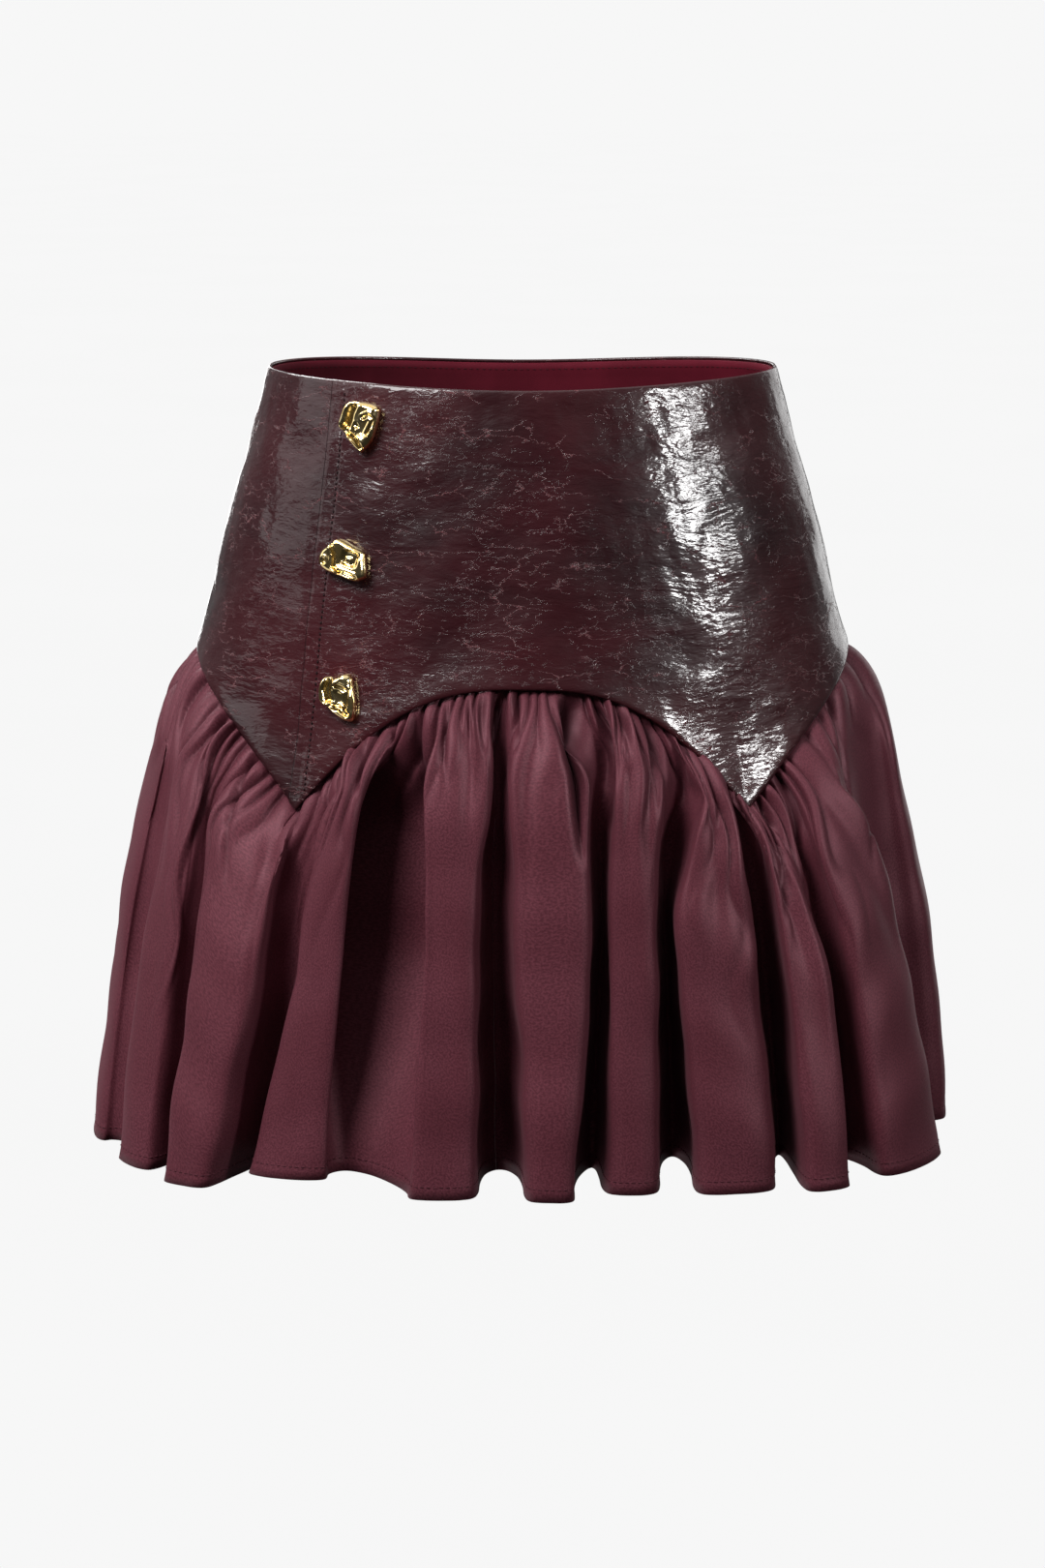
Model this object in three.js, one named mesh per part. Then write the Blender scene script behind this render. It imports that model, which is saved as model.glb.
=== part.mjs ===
// Mini skirt on its own filled-out form: a leather yoke with a scalloped lower edge, a lapped placket
// with three nugget buttons, a thin lining, and a gathered satin flounce joined from four panels.
// Millimetres, +Z up. The origin is the centre of the waist opening, the front faces -Y and the
// wearer's left is +X. Angles are degrees round the body: 0 at the front, 90 at +X, 180 at the back.
import * as THREE from 'three';

// Cloth walls and the gap between pieces that are sewn together.
const LEATHER_WALL = 1.2;
const SATIN_WALL = 1.2;
const LINING_WALL = 1.0;
const SEAM_GAP = 0.3;
const GATHERED_SEAM_GAP = 0.4;

// Sections of the body from the waist down: half-width, half-depth, squareness of the oval, and
// the angle at which the placket's lap edge crosses.
const SECTIONS = [
  { z: 6, halfWidth: 121.5, halfDepth: 87.5, squareness: 2.05, lapAngle: -55.2 },
  { z: 0, halfWidth: 123.0, halfDepth: 88.0, squareness: 2.05, lapAngle: -54.8 },
  { z: -31, halfWidth: 131.0, halfDepth: 94.0, squareness: 2.1, lapAngle: -52.5 },
  { z: -71, halfWidth: 143.0, halfDepth: 102.0, squareness: 2.15, lapAngle: -50.4 },
  { z: -110, halfWidth: 152.0, halfDepth: 109.0, squareness: 2.2, lapAngle: -49.1 },
  { z: -140, halfWidth: 156.8, halfDepth: 113.5, squareness: 2.25, lapAngle: -48.4 },
  { z: -170, halfWidth: 160.5, halfDepth: 117.0, squareness: 2.3, lapAngle: -47.9 },
  { z: -208, halfWidth: 166.5, halfDepth: 122.0, squareness: 2.4, lapAngle: -47.2 },
  { z: -257, halfWidth: 176.0, halfDepth: 127.5, squareness: 2.6, lapAngle: -47.2 },
  { z: -306, halfWidth: 183.5, halfDepth: 132.0, squareness: 2.85, lapAngle: -47.2 },
  { z: -345, halfWidth: 188.5, halfDepth: 135.5, squareness: 3.05, lapAngle: -47.2 },
  { z: -385, halfWidth: 193.0, halfDepth: 138.0, squareness: 3.2, lapAngle: -47.2 },
];

// Waist edge: level at the sides, dipping at the centre of the front and of the back.
const WAIST_DIP_FRONT = 4;
const WAIST_DIP_BACK = 6;

// Scalloped lower edge of the yoke: arches at front, sides and back, meeting in four points.
const POINT_ANGLE = 45.7;
const POINT_Z = -199;
const CENTRE_ARCH = { top: -139.5, power: 2.9 };
const SIDE_ARCH = { top: -136, power: 1.75 };

// Placket: the front panel lies on the side panel and settles back beyond the underlap. LEAN_REACH
// is how many degrees from the lap edge the panels' columns lean to follow it.
const UNDERLAP = 22;
const UNDERLAP_CLEARANCE = 1;
const SETTLE = 20;
const LAP_RAISE = LEATHER_WALL + SEAM_GAP;
const LEAN_REACH = 40;

// Lining of the yoke, hidden but for its top.
const LINING_TOP = 1.5;
const LINING_BOTTOM = -132;
const LINING_CLEARANCE = 0.5;

// Flounce: it puffs out below its gathered seam, then falls to the hem. The gathers begin a little
// above the seam and fade below it.
const HEM_Z = -370.3;
const PUFF = 23;
const PUFF_REACH = 18;
const GATHER = 2.4;
const GATHER_HEAD = 1.5;
const GATHER_START = 5;
const GATHER_FADE = 34;
const FLOUNCE_LEVELS = [0, 0.035, 0.08, 0.14, 0.22, 0.33, 0.46, 0.62, 0.8, 1];
const TOP_LEVEL = 0.12;
const MID_LEVEL = 0.5;
const DEPTH_POWER = 0.72;
const EVEN_LEVEL = 0.18;
const LIFT_POWER = 3;

// Valleys are pushed straight back up to this many degrees from the centre front or back, and
// turn from there to straight sideways at the sides.
const STRAIGHT_PUSH = 35;

// Stretch of a fold over which the next fold's lift and stand-out take over.
const HANDOVER = { start: 1 / 3, end: 2 / 3 };

// One row for each big fold, going round from the wearer's right side. left and right are the
// angles of the crest's edges near the seam, half way down and at the hem, and out is how far the
// crest stands out at the hem. depth and shift are those of the valley after it at the hem, and
// lift raises the hem at the fold's left edge and crest.
const FOLDS = [
  { fold: 'a', left: [-100, -100, -100], right: [-74, -73, -71], out: -2, depth: 14, shift: 0, lift: 0 },
  { fold: 'b', left: [-69.5, -66, -63.5], right: [-60.5, -57, -55.5], out: -4, depth: 32, shift: 1, lift: 0 },
  { fold: 'c', left: [-57, -53.3, -52.2], right: [-42, -43, -46], out: 3, depth: 44, shift: 5, lift: 0 },
  { fold: 'd', left: [-34, -37.5, -42], right: [-29, -29, -30], out: -6, depth: 17, shift: 1, lift: 6 },
  { fold: 'e', left: [-19.4, -17.3, -18.5], right: [-5.4, -7.7, -7.5], out: 1, depth: 46, shift: 0, lift: 0 },
  { fold: 'f', left: [-3.6, -1.4, 0.8], right: [13.4, 12, 8.8], out: 5, depth: 46, shift: 0, lift: 0 },
  { fold: 'g', left: [17.6, 14.8, 13.4], right: [27, 23, 22], out: -6, depth: 58, shift: 0, lift: 0 },
  { fold: 'h', left: [33.5, 25.8, 27.2], right: [37.4, 37.8, 38.4], out: -3, depth: 56, shift: 0, lift: 0 },
  { fold: 'i', left: [43, 42.2, 41.4], right: [47.6, 49, 48.2], out: 3, depth: 40, shift: 0, lift: 0 },
  { fold: 'j', left: [51.5, 52.5, 52.5], right: [61, 66, 67.5], out: 0, depth: 36, shift: -1, lift: 0 },
  { fold: 'k', left: [80, 80, 80], right: [100, 100, 100], out: 0, depth: 34, shift: 0, lift: 0 },
  { fold: 'l', left: [108, 107, 106], right: [117, 117, 118], out: -2, depth: 42, shift: 1, lift: 1 },
  { fold: 'm', left: [124, 125, 125], right: [131, 133, 135], out: 2, depth: 50, shift: 0, lift: 0 },
  { fold: 'n', left: [141, 141, 142], right: [150, 151, 151], out: -3, depth: 44, shift: -1, lift: 2 },
  { fold: 'o', left: [156, 157, 157], right: [167, 167, 166], out: 2, depth: 54, shift: 0, lift: 0 },
  { fold: 'p', left: [173, 172, 172], right: [186, 185, 183], out: 4, depth: 42, shift: 1, lift: 1 },
  { fold: 'q', left: [191, 191, 190], right: [199, 201, 202], out: -4, depth: 54, shift: 0, lift: 0 },
  { fold: 'r', left: [207, 208, 209], right: [218, 218, 217], out: 2, depth: 48, shift: 0, lift: 2 },
  { fold: 's', left: [225, 224, 223], right: [233, 233, 234], out: 0, depth: 40, shift: 1, lift: 0 },
  { fold: 't', left: [240, 241, 241], right: [250, 249, 250], out: -2, depth: 28, shift: 0, lift: 1 },
];

// The cloth's way round one fold: down the right of its crest, through the valley, and up the
// left of the next crest. across runs along each stretch, depth is a share of the valley's depth.
const FOLD_PROFILE = [
  { stretch: 'crest', across: 0.0, depth: 0.0 },
  { stretch: 'crest', across: 0.5, depth: 0.01 },
  { stretch: 'crest', across: 0.86, depth: 0.07 },
  { stretch: 'valley', across: 0.0, depth: 0.24 },
  { stretch: 'valley', across: 0.04, depth: 0.54 },
  { stretch: 'valley', across: 0.16, depth: 0.83 },
  { stretch: 'valley', across: 0.38, depth: 1.0 },
  { stretch: 'valley', across: 0.62, depth: 1.0 },
  { stretch: 'valley', across: 0.84, depth: 0.83 },
  { stretch: 'valley', across: 0.96, depth: 0.54 },
  { stretch: 'valley', across: 1.0, depth: 0.24 },
  { stretch: 'next', across: 0.14, depth: 0.07 },
  { stretch: 'next', across: 0.5, depth: 0.01 },
];

// Panels of the flounce, from seam to seam. The side seams lie on the crests of the folds a and k,
// and the seams of the centre front and the centre back are hidden in the valleys after e and o.
const FLOUNCE_PANELS = [
  { name: 'flounce_front_right', from: { fold: 'a', station: 0 }, to: { fold: 'e', station: 6 } },
  { name: 'flounce_front_left', from: { fold: 'e', station: 6 }, to: { fold: 'k', station: 0 } },
  { name: 'flounce_back_left', from: { fold: 'k', station: 0 }, to: { fold: 'o', station: 6 } },
  { name: 'flounce_back_right', from: { fold: 'o', station: 6 }, to: { fold: 'a', station: 0 } },
];

// Buttons: cast nuggets of irregular outline. across and up are measured from the button's
// centre, rim is the height of the raised edge above the leather.
const BUTTON_BASE = { scale: 0.86, height: 0 };
const BUTTON_BELLY = { scale: 1.0, height: 3.4 };
const BUTTON_RIM_SCALE = 0.78;
const BUTTON_DISH = { scale: 0.36, drop: 2.6 };
const BUTTON_CENTRE_HEIGHT = 4.4;
const BUTTONS = [
  {
    name: 'button_1',
    angle: -44.1,
    z: -21.9,
    outline: [
      { across: 9, up: 9.6, rim: 7.6 }, { across: 10, up: 7.4, rim: 8.4 },
      { across: 6, up: 0.5, rim: 8 }, { across: 3.7, up: -7, rim: 7.2 },
      { across: 1.8, up: -12.4, rim: 6.6 }, { across: -1.4, up: -12.4, rim: 7 },
      { across: -6, up: -9.2, rim: 8.2 }, { across: -13.2, up: -0.4, rim: 6.4 },
      { across: -12.6, up: 3.7, rim: 7.4 }, { across: -7.9, up: 10.8, rim: 8.8 },
      { across: -4.1, up: 12.4, rim: 8.6 }, { across: 2.5, up: 11.2, rim: 7.4 },
    ],
  },
  {
    name: 'button_2',
    angle: -43.2,
    z: -82.8,
    outline: [
      { across: 11.7, up: 3.9, rim: 7.2 }, { across: 9.9, up: -1.6, rim: 8.4 },
      { across: 11.6, up: -8.2, rim: 7.6 }, { across: 5.3, up: -9.9, rim: 8.2 },
      { across: -2.2, up: -9, rim: 7.4 }, { across: -8.7, up: -6.4, rim: 8.8 },
      { across: -13.3, up: -3.8, rim: 6.8 }, { across: -13.7, up: 0.4, rim: 6.6 },
      { across: -11, up: 5.8, rim: 8 }, { across: -2.3, up: 10.8, rim: 8.6 },
      { across: 5.1, up: 7.6, rim: 7.8 },
    ],
  },
  {
    name: 'button_3',
    angle: -40.9,
    z: -145.2,
    outline: [
      { across: 9, up: 8.2, rim: 7 }, { across: 8.3, up: 2, rim: 8.4 },
      { across: 7.1, up: -4.2, rim: 7.4 }, { across: 7.6, up: -11.2, rim: 7.8 },
      { across: 2.1, up: -11.4, rim: 8.6 }, { across: -3.9, up: -7.8, rim: 8.2 },
      { across: -9.2, up: -3.8, rim: 7 }, { across: -10, up: 0.4, rim: 7.8 },
      { across: -7.9, up: 9.1, rim: 8.8 }, { across: -1.4, up: 10.4, rim: 7.6 },
      { across: 4.8, up: 11.3, rim: 8.2 },
    ],
  },
];

// How finely the pieces are divided.
const YOKE_STEP = 2.6;
const YOKE_ROWS = 7;
const LINING_COLUMNS = 48;
const LINING_ROWS = 6;

const leather = { color: '#3b1019', roughness: 0.28, metalness: 0 };
const satin = { color: '#5d2a36', roughness: 0.6, metalness: 0 };
const liningCloth = { color: '#4d0f1e', roughness: 0.8, metalness: 0 };
const gold = { color: '#d9b24a', roughness: 0.15, metalness: 1 };

const mix = (from, to, share) => from + (to - from) * share;
const clamp01 = (value) => Math.min(1, Math.max(0, value));
const smooth = (value) => clamp01(value) ** 2 * (3 - 2 * clamp01(value));
const radians = THREE.MathUtils.degToRad;

// A column of SECTIONS at height z, as a smooth curve through the rows.
function sectionValue(z, column) {
  const last = SECTIONS.length - 2;
  let row = SECTIONS.findIndex((section, index) => index > 0 && z > section.z) - 1;
  if (row < 0) row = last;
  const slope = (index) => {
    const above = SECTIONS[Math.max(0, index - 1)];
    const below = SECTIONS[Math.min(SECTIONS.length - 1, index + 1)];
    return (below[column] - above[column]) / (below.z - above.z);
  };
  const top = SECTIONS[row];
  const bottom = SECTIONS[row + 1];
  const span = bottom.z - top.z;
  const t = clamp01((z - top.z) / span);
  return (2 * t ** 3 - 3 * t ** 2 + 1) * top[column] + (t ** 3 - 2 * t ** 2 + t) * span * slope(row)
    + (3 * t ** 2 - 2 * t ** 3) * bottom[column] + (t ** 3 - t ** 2) * span * slope(row + 1);
}

// A point of the body's oval at an angle and a height, with the oval grown by some millimetres.
function bodyPoint(angle, z, grow = 0) {
  const halfWidth = sectionValue(z, 'halfWidth') + grow;
  const halfDepth = sectionValue(z, 'halfDepth') + grow;
  const power = sectionValue(z, 'squareness');
  const sine = Math.sin(radians(angle));
  const cosine = Math.cos(radians(angle));
  const sum = Math.abs(sine / halfWidth) ** power + Math.abs(cosine / halfDepth) ** power;
  const radius = sum ** (-1 / power);
  return new THREE.Vector3(radius * sine, -radius * cosine, z);
}

// Length of one degree round the body.
function degreeLength(angle, z) {
  return bodyPoint(angle + 0.5, z).distanceTo(bodyPoint(angle - 0.5, z));
}

// The body's outward normal, from its slopes round and down.
function bodyNormal(angle, z) {
  const round = bodyPoint(angle + 0.5, z).sub(bodyPoint(angle - 0.5, z));
  const down = bodyPoint(angle, z - 1).sub(bodyPoint(angle, z + 1));
  return down.cross(round).normalize();
}

// Angle brought to the range from -180 to 180.
function turned(angle) {
  return ((angle + 180) % 360 + 360) % 360 - 180;
}

function waistZ(angle) {
  const facing = Math.cos(radians(angle));
  return -(facing > 0 ? WAIST_DIP_FRONT : WAIST_DIP_BACK) * facing ** 2;
}

// Height of the yoke's scalloped edge.
function seamZ(angle) {
  const fromFront = Math.abs(turned(angle));
  const fromCentre = Math.min(fromFront, 180 - fromFront);
  const arch = fromCentre <= POINT_ANGLE ? CENTRE_ARCH : SIDE_ARCH;
  const share = fromCentre <= POINT_ANGLE ? fromCentre / POINT_ANGLE : (90 - fromCentre) / (90 - POINT_ANGLE);
  return mix(arch.top, POINT_Z, share ** arch.power);
}

// A gap measured square to the scalloped edge, as a drop in height.
function seamDrop(angle) {
  const slope = (seamZ(angle + 0.5) - seamZ(angle - 0.5)) / degreeLength(angle, POINT_Z);
  return GATHERED_SEAM_GAP * Math.hypot(1, slope);
}

// Inner points of a cloth wall, one wall inside a grid of outer points [column][row] along the
// grid's normals. A ring joins its last column to its first.
function innerPoints(outer, wall, ring = false) {
  const columns = outer.length;
  const lastRow = outer[0].length - 1;
  return outer.map((column, i) => column.map((point, j) => {
    const before = !ring && i === columns - 1 ? i - 2 : i - 1;
    const after = !ring && i === 0 ? 2 : i + 1;
    const left = outer[ring ? (before + columns) % columns : Math.max(0, before)][j];
    const right = outer[ring ? after % columns : Math.min(columns - 1, after)][j];
    const round = right.clone().sub(left);
    const down = column[Math.min(lastRow, j + 1)].clone().sub(column[Math.max(0, j - 1)]);
    return point.clone().addScaledVector(down.cross(round).normalize(), -wall);
  }));
}

// Closed cloth body between two grids of points [column][row].
function clothBody(outer, inner, ring = false) {
  const columns = outer.length;
  const rows = outer[0].length;
  const points = [...outer.flat(), ...inner.flat()];
  const outerIndex = (i, j) => (i % columns) * rows + j;
  const innerIndex = (i, j) => outerIndex(i, j) + columns * rows;
  const triangles = [];
  const quad = (a, b, c, d) => triangles.push(a, b, c, a, c, d);
  const spans = ring ? columns : columns - 1;
  for (let i = 0; i < spans; i += 1) {
    for (let j = 0; j < rows - 1; j += 1) {
      quad(outerIndex(i, j), outerIndex(i, j + 1), outerIndex(i + 1, j + 1), outerIndex(i + 1, j));
      quad(innerIndex(i, j), innerIndex(i + 1, j), innerIndex(i + 1, j + 1), innerIndex(i, j + 1));
    }
    const foot = rows - 1;
    quad(outerIndex(i, 0), outerIndex(i + 1, 0), innerIndex(i + 1, 0), innerIndex(i, 0));
    quad(outerIndex(i, foot), innerIndex(i, foot), innerIndex(i + 1, foot), outerIndex(i + 1, foot));
  }
  for (let j = 0; !ring && j < rows - 1; j += 1) {
    quad(outerIndex(0, j), innerIndex(0, j), innerIndex(0, j + 1), outerIndex(0, j + 1));
    quad(outerIndex(spans, j), outerIndex(spans, j + 1), innerIndex(spans, j + 1), innerIndex(spans, j));
  }
  const geometry = new THREE.BufferGeometry().setFromPoints(points);
  geometry.setIndex(triangles);
  geometry.computeVertexNormals();
  return geometry;
}

// Angles of a panel's columns, with one on each scallop point inside it.
function panelAngles(from, to) {
  const corners = [from, to];
  for (const point of [-POINT_ANGLE, POINT_ANGLE, 180 - POINT_ANGLE, 180 + POINT_ANGLE]) {
    if (point > from && point < to) corners.push(point);
  }
  corners.sort((first, second) => first - second);
  const angles = [from];
  for (let corner = 1; corner < corners.length; corner += 1) {
    const steps = Math.max(1, Math.round((corners[corner] - corners[corner - 1]) / YOKE_STEP));
    for (let step = 1; step <= steps; step += 1) {
      angles.push(mix(corners[corner - 1], corners[corner], step / steps));
    }
  }
  return angles;
}

// Angle that an arc length on the body at height z takes up.
function arcAngle(length, angle, z) {
  return length / degreeLength(angle, z);
}

// A leather panel between two angles at the scalloped edge. skew(angle, z) leans its columns
// to follow the placket, and raise(angle, z) lifts it off what it lies on.
function yokePanel(from, to, skew, raise) {
  const grid = panelAngles(from, to).map((seamAngle) => {
    const column = [];
    for (let row = 0; row <= YOKE_ROWS; row += 1) {
      const straight = mix(waistZ(seamAngle), seamZ(seamAngle), row / YOKE_ROWS);
      const angle = seamAngle + skew(seamAngle, straight);
      const z = row === YOKE_ROWS ? seamZ(seamAngle) : mix(waistZ(angle), seamZ(seamAngle), row / YOKE_ROWS);
      column.push(bodyPoint(angle, z).addScaledVector(bodyNormal(angle, z), raise(angle, z)));
    }
    return column;
  });
  return clothBody(grid, innerPoints(grid, LEATHER_WALL));
}

// Lean of a column near the placket, from its foot: all of it at the lap edge, none LEAN_REACH away.
const lapAtSeam = sectionValue(POINT_Z, 'lapAngle');
function lapLean(seamAngle, z) {
  const share = clamp01(1 - Math.abs(seamAngle - lapAtSeam) / LEAN_REACH);
  return (sectionValue(z, 'lapAngle') - sectionValue(seamZ(seamAngle), 'lapAngle')) * share;
}

// How far the front panel stands off where it laps over the side panel.
function lapRaise(angle, z) {
  const lap = sectionValue(z, 'lapAngle');
  const fromLap = (angle - lap) / arcAngle(1, lap, z);
  return LAP_RAISE * (1 - smooth((fromLap - UNDERLAP - UNDERLAP_CLEARANCE) / SETTLE));
}

const noLean = () => 0;
const flat = () => 0;
const halfGap = arcAngle(SEAM_GAP / 2, 90, POINT_Z);

function yokeFront() {
  return yokePanel(lapAtSeam, 90 - halfGap, lapLean, lapRaise);
}

function yokeSide() {
  return yokePanel(-90 + halfGap, lapAtSeam + arcAngle(UNDERLAP, lapAtSeam, POINT_Z), lapLean, flat);
}

function yokeBack() {
  return yokePanel(90 + halfGap, 270 - halfGap, noLean, flat);
}

// Lining: a plain ring just inside the leather.
function lining() {
  const inward = -LEATHER_WALL - LINING_CLEARANCE;
  const grid = [];
  for (let column = 0; column < LINING_COLUMNS; column += 1) {
    const angle = 360 * column / LINING_COLUMNS;
    const points = [];
    for (let row = 0; row <= LINING_ROWS; row += 1) {
      const z = mix(waistZ(angle) - LINING_TOP, LINING_BOTTOM, row / LINING_ROWS);
      points.push(bodyPoint(angle, z).addScaledVector(bodyNormal(angle, z), inward));
    }
    grid.push(points);
  }
  return clothBody(grid, innerPoints(grid, LINING_WALL, true), true);
}

// An edge angle of a fold at a level, from its values near the seam, half way and at the hem.
function edgeAngle([top, mid, hem], level) {
  if (level >= MID_LEVEL) return mix(mid, hem, (level - MID_LEVEL) / (1 - MID_LEVEL));
  const left = 1 - clamp01((level - TOP_LEVEL) / (MID_LEVEL - TOP_LEVEL));
  return mix(mid, top, left ** 2);
}

// Direction in which a valley is pushed in: straight back at front and back, sideways at the
// sides, as an angle round the body.
function pushAngle(angle) {
  const fromFront = turned(angle);
  const fromCentre = Math.min(Math.abs(fromFront), 180 - Math.abs(fromFront));
  const turn = 90 * smooth((fromCentre - STRAIGHT_PUSH) / (90 - STRAIGHT_PUSH));
  const facing = Math.abs(fromFront) > 90 ? 180 - turn : turn;
  return Math.sign(fromFront) * facing;
}

// An angle moved to a scallop point where one lies within half a spacing of it.
function onPoint(angle, spacing) {
  const fromFront = Math.abs(turned(angle));
  const fromCentre = Math.min(fromFront, 180 - fromFront);
  if (Math.abs(fromCentre - POINT_ANGLE) > spacing / 2) return angle;
  const outward = turned(angle) * (90 - fromFront) > 0 ? 1 : -1;
  return angle + (POINT_ANGLE - fromCentre) * outward;
}

// Share of the next fold's lift and stand-out that a station has taken over from its own fold.
function handOver(station) {
  return smooth((station / FOLD_PROFILE.length - HANDOVER.start) / (HANDOVER.end - HANDOVER.start));
}

// Point of the flounce's outer face at a station: fold number, row of the profile and level.
function flouncePoint(foldNumber, station, level) {
  const fold = FOLDS[foldNumber];
  const next = FOLDS[(foldNumber + 1) % FOLDS.length];
  const wrap = foldNumber === FOLDS.length - 1 ? 360 : 0;
  const right = edgeAngle(fold.right, level);
  const nextLeft = edgeAngle(next.left, level) + wrap;
  const crest = (edgeAngle(fold.left, level) + right) / 2;
  const nextCrest = (nextLeft + edgeAngle(next.right, level) + wrap) / 2;
  const row = FOLD_PROFILE[station];
  const ends = { crest: [crest, right], valley: [right, nextLeft], next: [nextLeft, nextCrest] }[row.stretch];
  const foldAngle = mix(ends[0], ends[1], row.across) + fold.shift * row.depth * level;
  const spacing = (nextCrest - crest) / FOLD_PROFILE.length;
  const evenAngle = level === 0 ? onPoint(crest + spacing * station, spacing) : crest + spacing * station;
  const angle = mix(evenAngle, foldAngle, smooth(level / EVEN_LEVEL));

  const start = seamZ(angle) - seamDrop(angle);
  const lift = mix(fold.lift, next.lift, handOver(station)) * level ** LIFT_POWER;
  const z = mix(start, HEM_Z, level) + lift;
  const below = start - z;
  const grow = PUFF * (1 - Math.exp(-below / PUFF_REACH));
  const out = mix(fold.out, next.out, handOver(station));
  const depth = (fold.depth * row.depth - out) * level ** DEPTH_POWER;
  const push = radians(pushAngle(angle));
  const point = bodyPoint(angle, z, grow);
  point.x -= Math.sin(push) * depth;
  point.y += Math.cos(push) * depth;

  const onset = 1 - Math.exp(-(below + GATHER_HEAD) / GATHER_START);
  const gather = GATHER * onset * Math.exp(-below / GATHER_FADE);
  const side = (foldNumber * FOLD_PROFILE.length + station) % 2 ? -0.5 : 0.5;
  return point.addScaledVector(bodyNormal(angle, z), gather * side);
}

// All columns of the flounce, going round once from the crest of the first fold.
function flounceColumns() {
  return FOLDS.flatMap((fold, number) => FOLD_PROFILE.map((row, station) => (
    FLOUNCE_LEVELS.map((level) => flouncePoint(number, station, level))
  )));
}

const flounceOuter = flounceColumns();
const flounceInner = innerPoints(flounceOuter, SATIN_WALL, true);

// Columns of a flounce panel, with its two edges drawn back by half a seam gap.
function panelColumns(columns, first, last) {
  const panel = [];
  for (let column = first; column <= last; column += 1) {
    panel.push(columns[column % columns.length].map((point) => point.clone()));
  }
  for (const [edge, beside] of [[0, 1], [panel.length - 1, panel.length - 2]]) {
    panel[edge].forEach((point, row) => {
      const inward = panel[beside][row].clone().sub(point).normalize();
      point.addScaledVector(inward, SEAM_GAP / 2);
    });
  }
  return panel;
}

function flouncePanel({ from, to }) {
  const columnOf = ({ fold, station }) => (
    FOLDS.findIndex((row) => row.fold === fold) * FOLD_PROFILE.length + station
  );
  const first = columnOf(from);
  const last = columnOf(to) > first ? columnOf(to) : columnOf(to) + flounceOuter.length;
  return clothBody(panelColumns(flounceOuter, first, last), panelColumns(flounceInner, first, last));
}

// A nugget button: rings of its outline, swelling to the belly and dished on top, closed below.
function nugget({ outline }) {
  const ringAt = (scale, heightOf) => outline.map((corner) => (
    new THREE.Vector3(corner.across * scale, corner.up * scale, heightOf(corner))
  ));
  const rings = [
    ringAt(BUTTON_BASE.scale, () => BUTTON_BASE.height),
    ringAt(BUTTON_BELLY.scale, () => BUTTON_BELLY.height),
    ringAt(BUTTON_RIM_SCALE, (corner) => corner.rim),
    ringAt(BUTTON_DISH.scale, (corner) => corner.rim - BUTTON_DISH.drop),
  ];
  const points = rings.flat();
  const sides = outline.length;
  const bottom = points.push(new THREE.Vector3(0, 0, BUTTON_BASE.height)) - 1;
  const top = points.push(new THREE.Vector3(0, 0, BUTTON_CENTRE_HEIGHT)) - 1;
  const triangles = [];
  for (let side = 0; side < sides; side += 1) {
    const next = (side + 1) % sides;
    for (let ring = 0; ring < rings.length - 1; ring += 1) {
      const low = ring * sides;
      const high = low + sides;
      triangles.push(low + side, high + next, low + next, low + side, high + side, high + next);
    }
    const last = (rings.length - 1) * sides;
    triangles.push(bottom, side, next);
    triangles.push(top, last + next, last + side);
  }
  const geometry = new THREE.BufferGeometry().setFromPoints(points);
  geometry.setIndex(triangles);
  geometry.computeVertexNormals();
  return geometry;
}

function piece(name, geometry, look) {
  const mesh = new THREE.Mesh(geometry, new THREE.MeshStandardMaterial(look));
  mesh.name = name;
  return mesh;
}

// A button seated just off the leather, its face along the leather's normal.
function seatedButton(button) {
  const mesh = piece(button.name, nugget(button), gold);
  const normal = bodyNormal(button.angle, button.z);
  const across = new THREE.Vector3(0, 0, 1).cross(normal).normalize();
  const up = normal.clone().cross(across);
  mesh.quaternion.setFromRotationMatrix(new THREE.Matrix4().makeBasis(across, up, normal));
  const standOff = lapRaise(button.angle, button.z) + SEAM_GAP;
  mesh.position.copy(bodyPoint(button.angle, button.z)).addScaledVector(normal, standOff);
  return mesh;
}

const skirt = new THREE.Group();
skirt.name = 'leather_skirt';
skirt.add(
  piece('yoke_front', yokeFront(), leather),
  piece('yoke_side', yokeSide(), leather),
  piece('yoke_back', yokeBack(), leather),
  piece('lining', lining(), liningCloth),
  ...FLOUNCE_PANELS.map((panel) => piece(panel.name, flouncePanel(panel), satin)),
  ...BUTTONS.map(seatedButton),
);

export default skirt;
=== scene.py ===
import math
import bpy
import numpy as np
from mathutils import Matrix, Vector
from mathutils.bvhtree import BVHTree


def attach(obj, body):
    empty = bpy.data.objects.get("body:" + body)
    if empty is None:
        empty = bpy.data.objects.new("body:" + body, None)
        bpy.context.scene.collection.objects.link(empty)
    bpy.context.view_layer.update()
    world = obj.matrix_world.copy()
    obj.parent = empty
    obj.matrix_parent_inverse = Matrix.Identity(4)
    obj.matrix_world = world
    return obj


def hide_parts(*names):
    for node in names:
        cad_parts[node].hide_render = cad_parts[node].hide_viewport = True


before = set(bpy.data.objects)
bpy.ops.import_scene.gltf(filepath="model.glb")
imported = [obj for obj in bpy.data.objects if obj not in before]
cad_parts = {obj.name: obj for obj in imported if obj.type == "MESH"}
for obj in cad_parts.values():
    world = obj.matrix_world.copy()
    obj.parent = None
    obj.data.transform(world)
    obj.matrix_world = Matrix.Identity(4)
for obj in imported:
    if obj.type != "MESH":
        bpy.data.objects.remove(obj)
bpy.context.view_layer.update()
MM = 0.001


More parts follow.
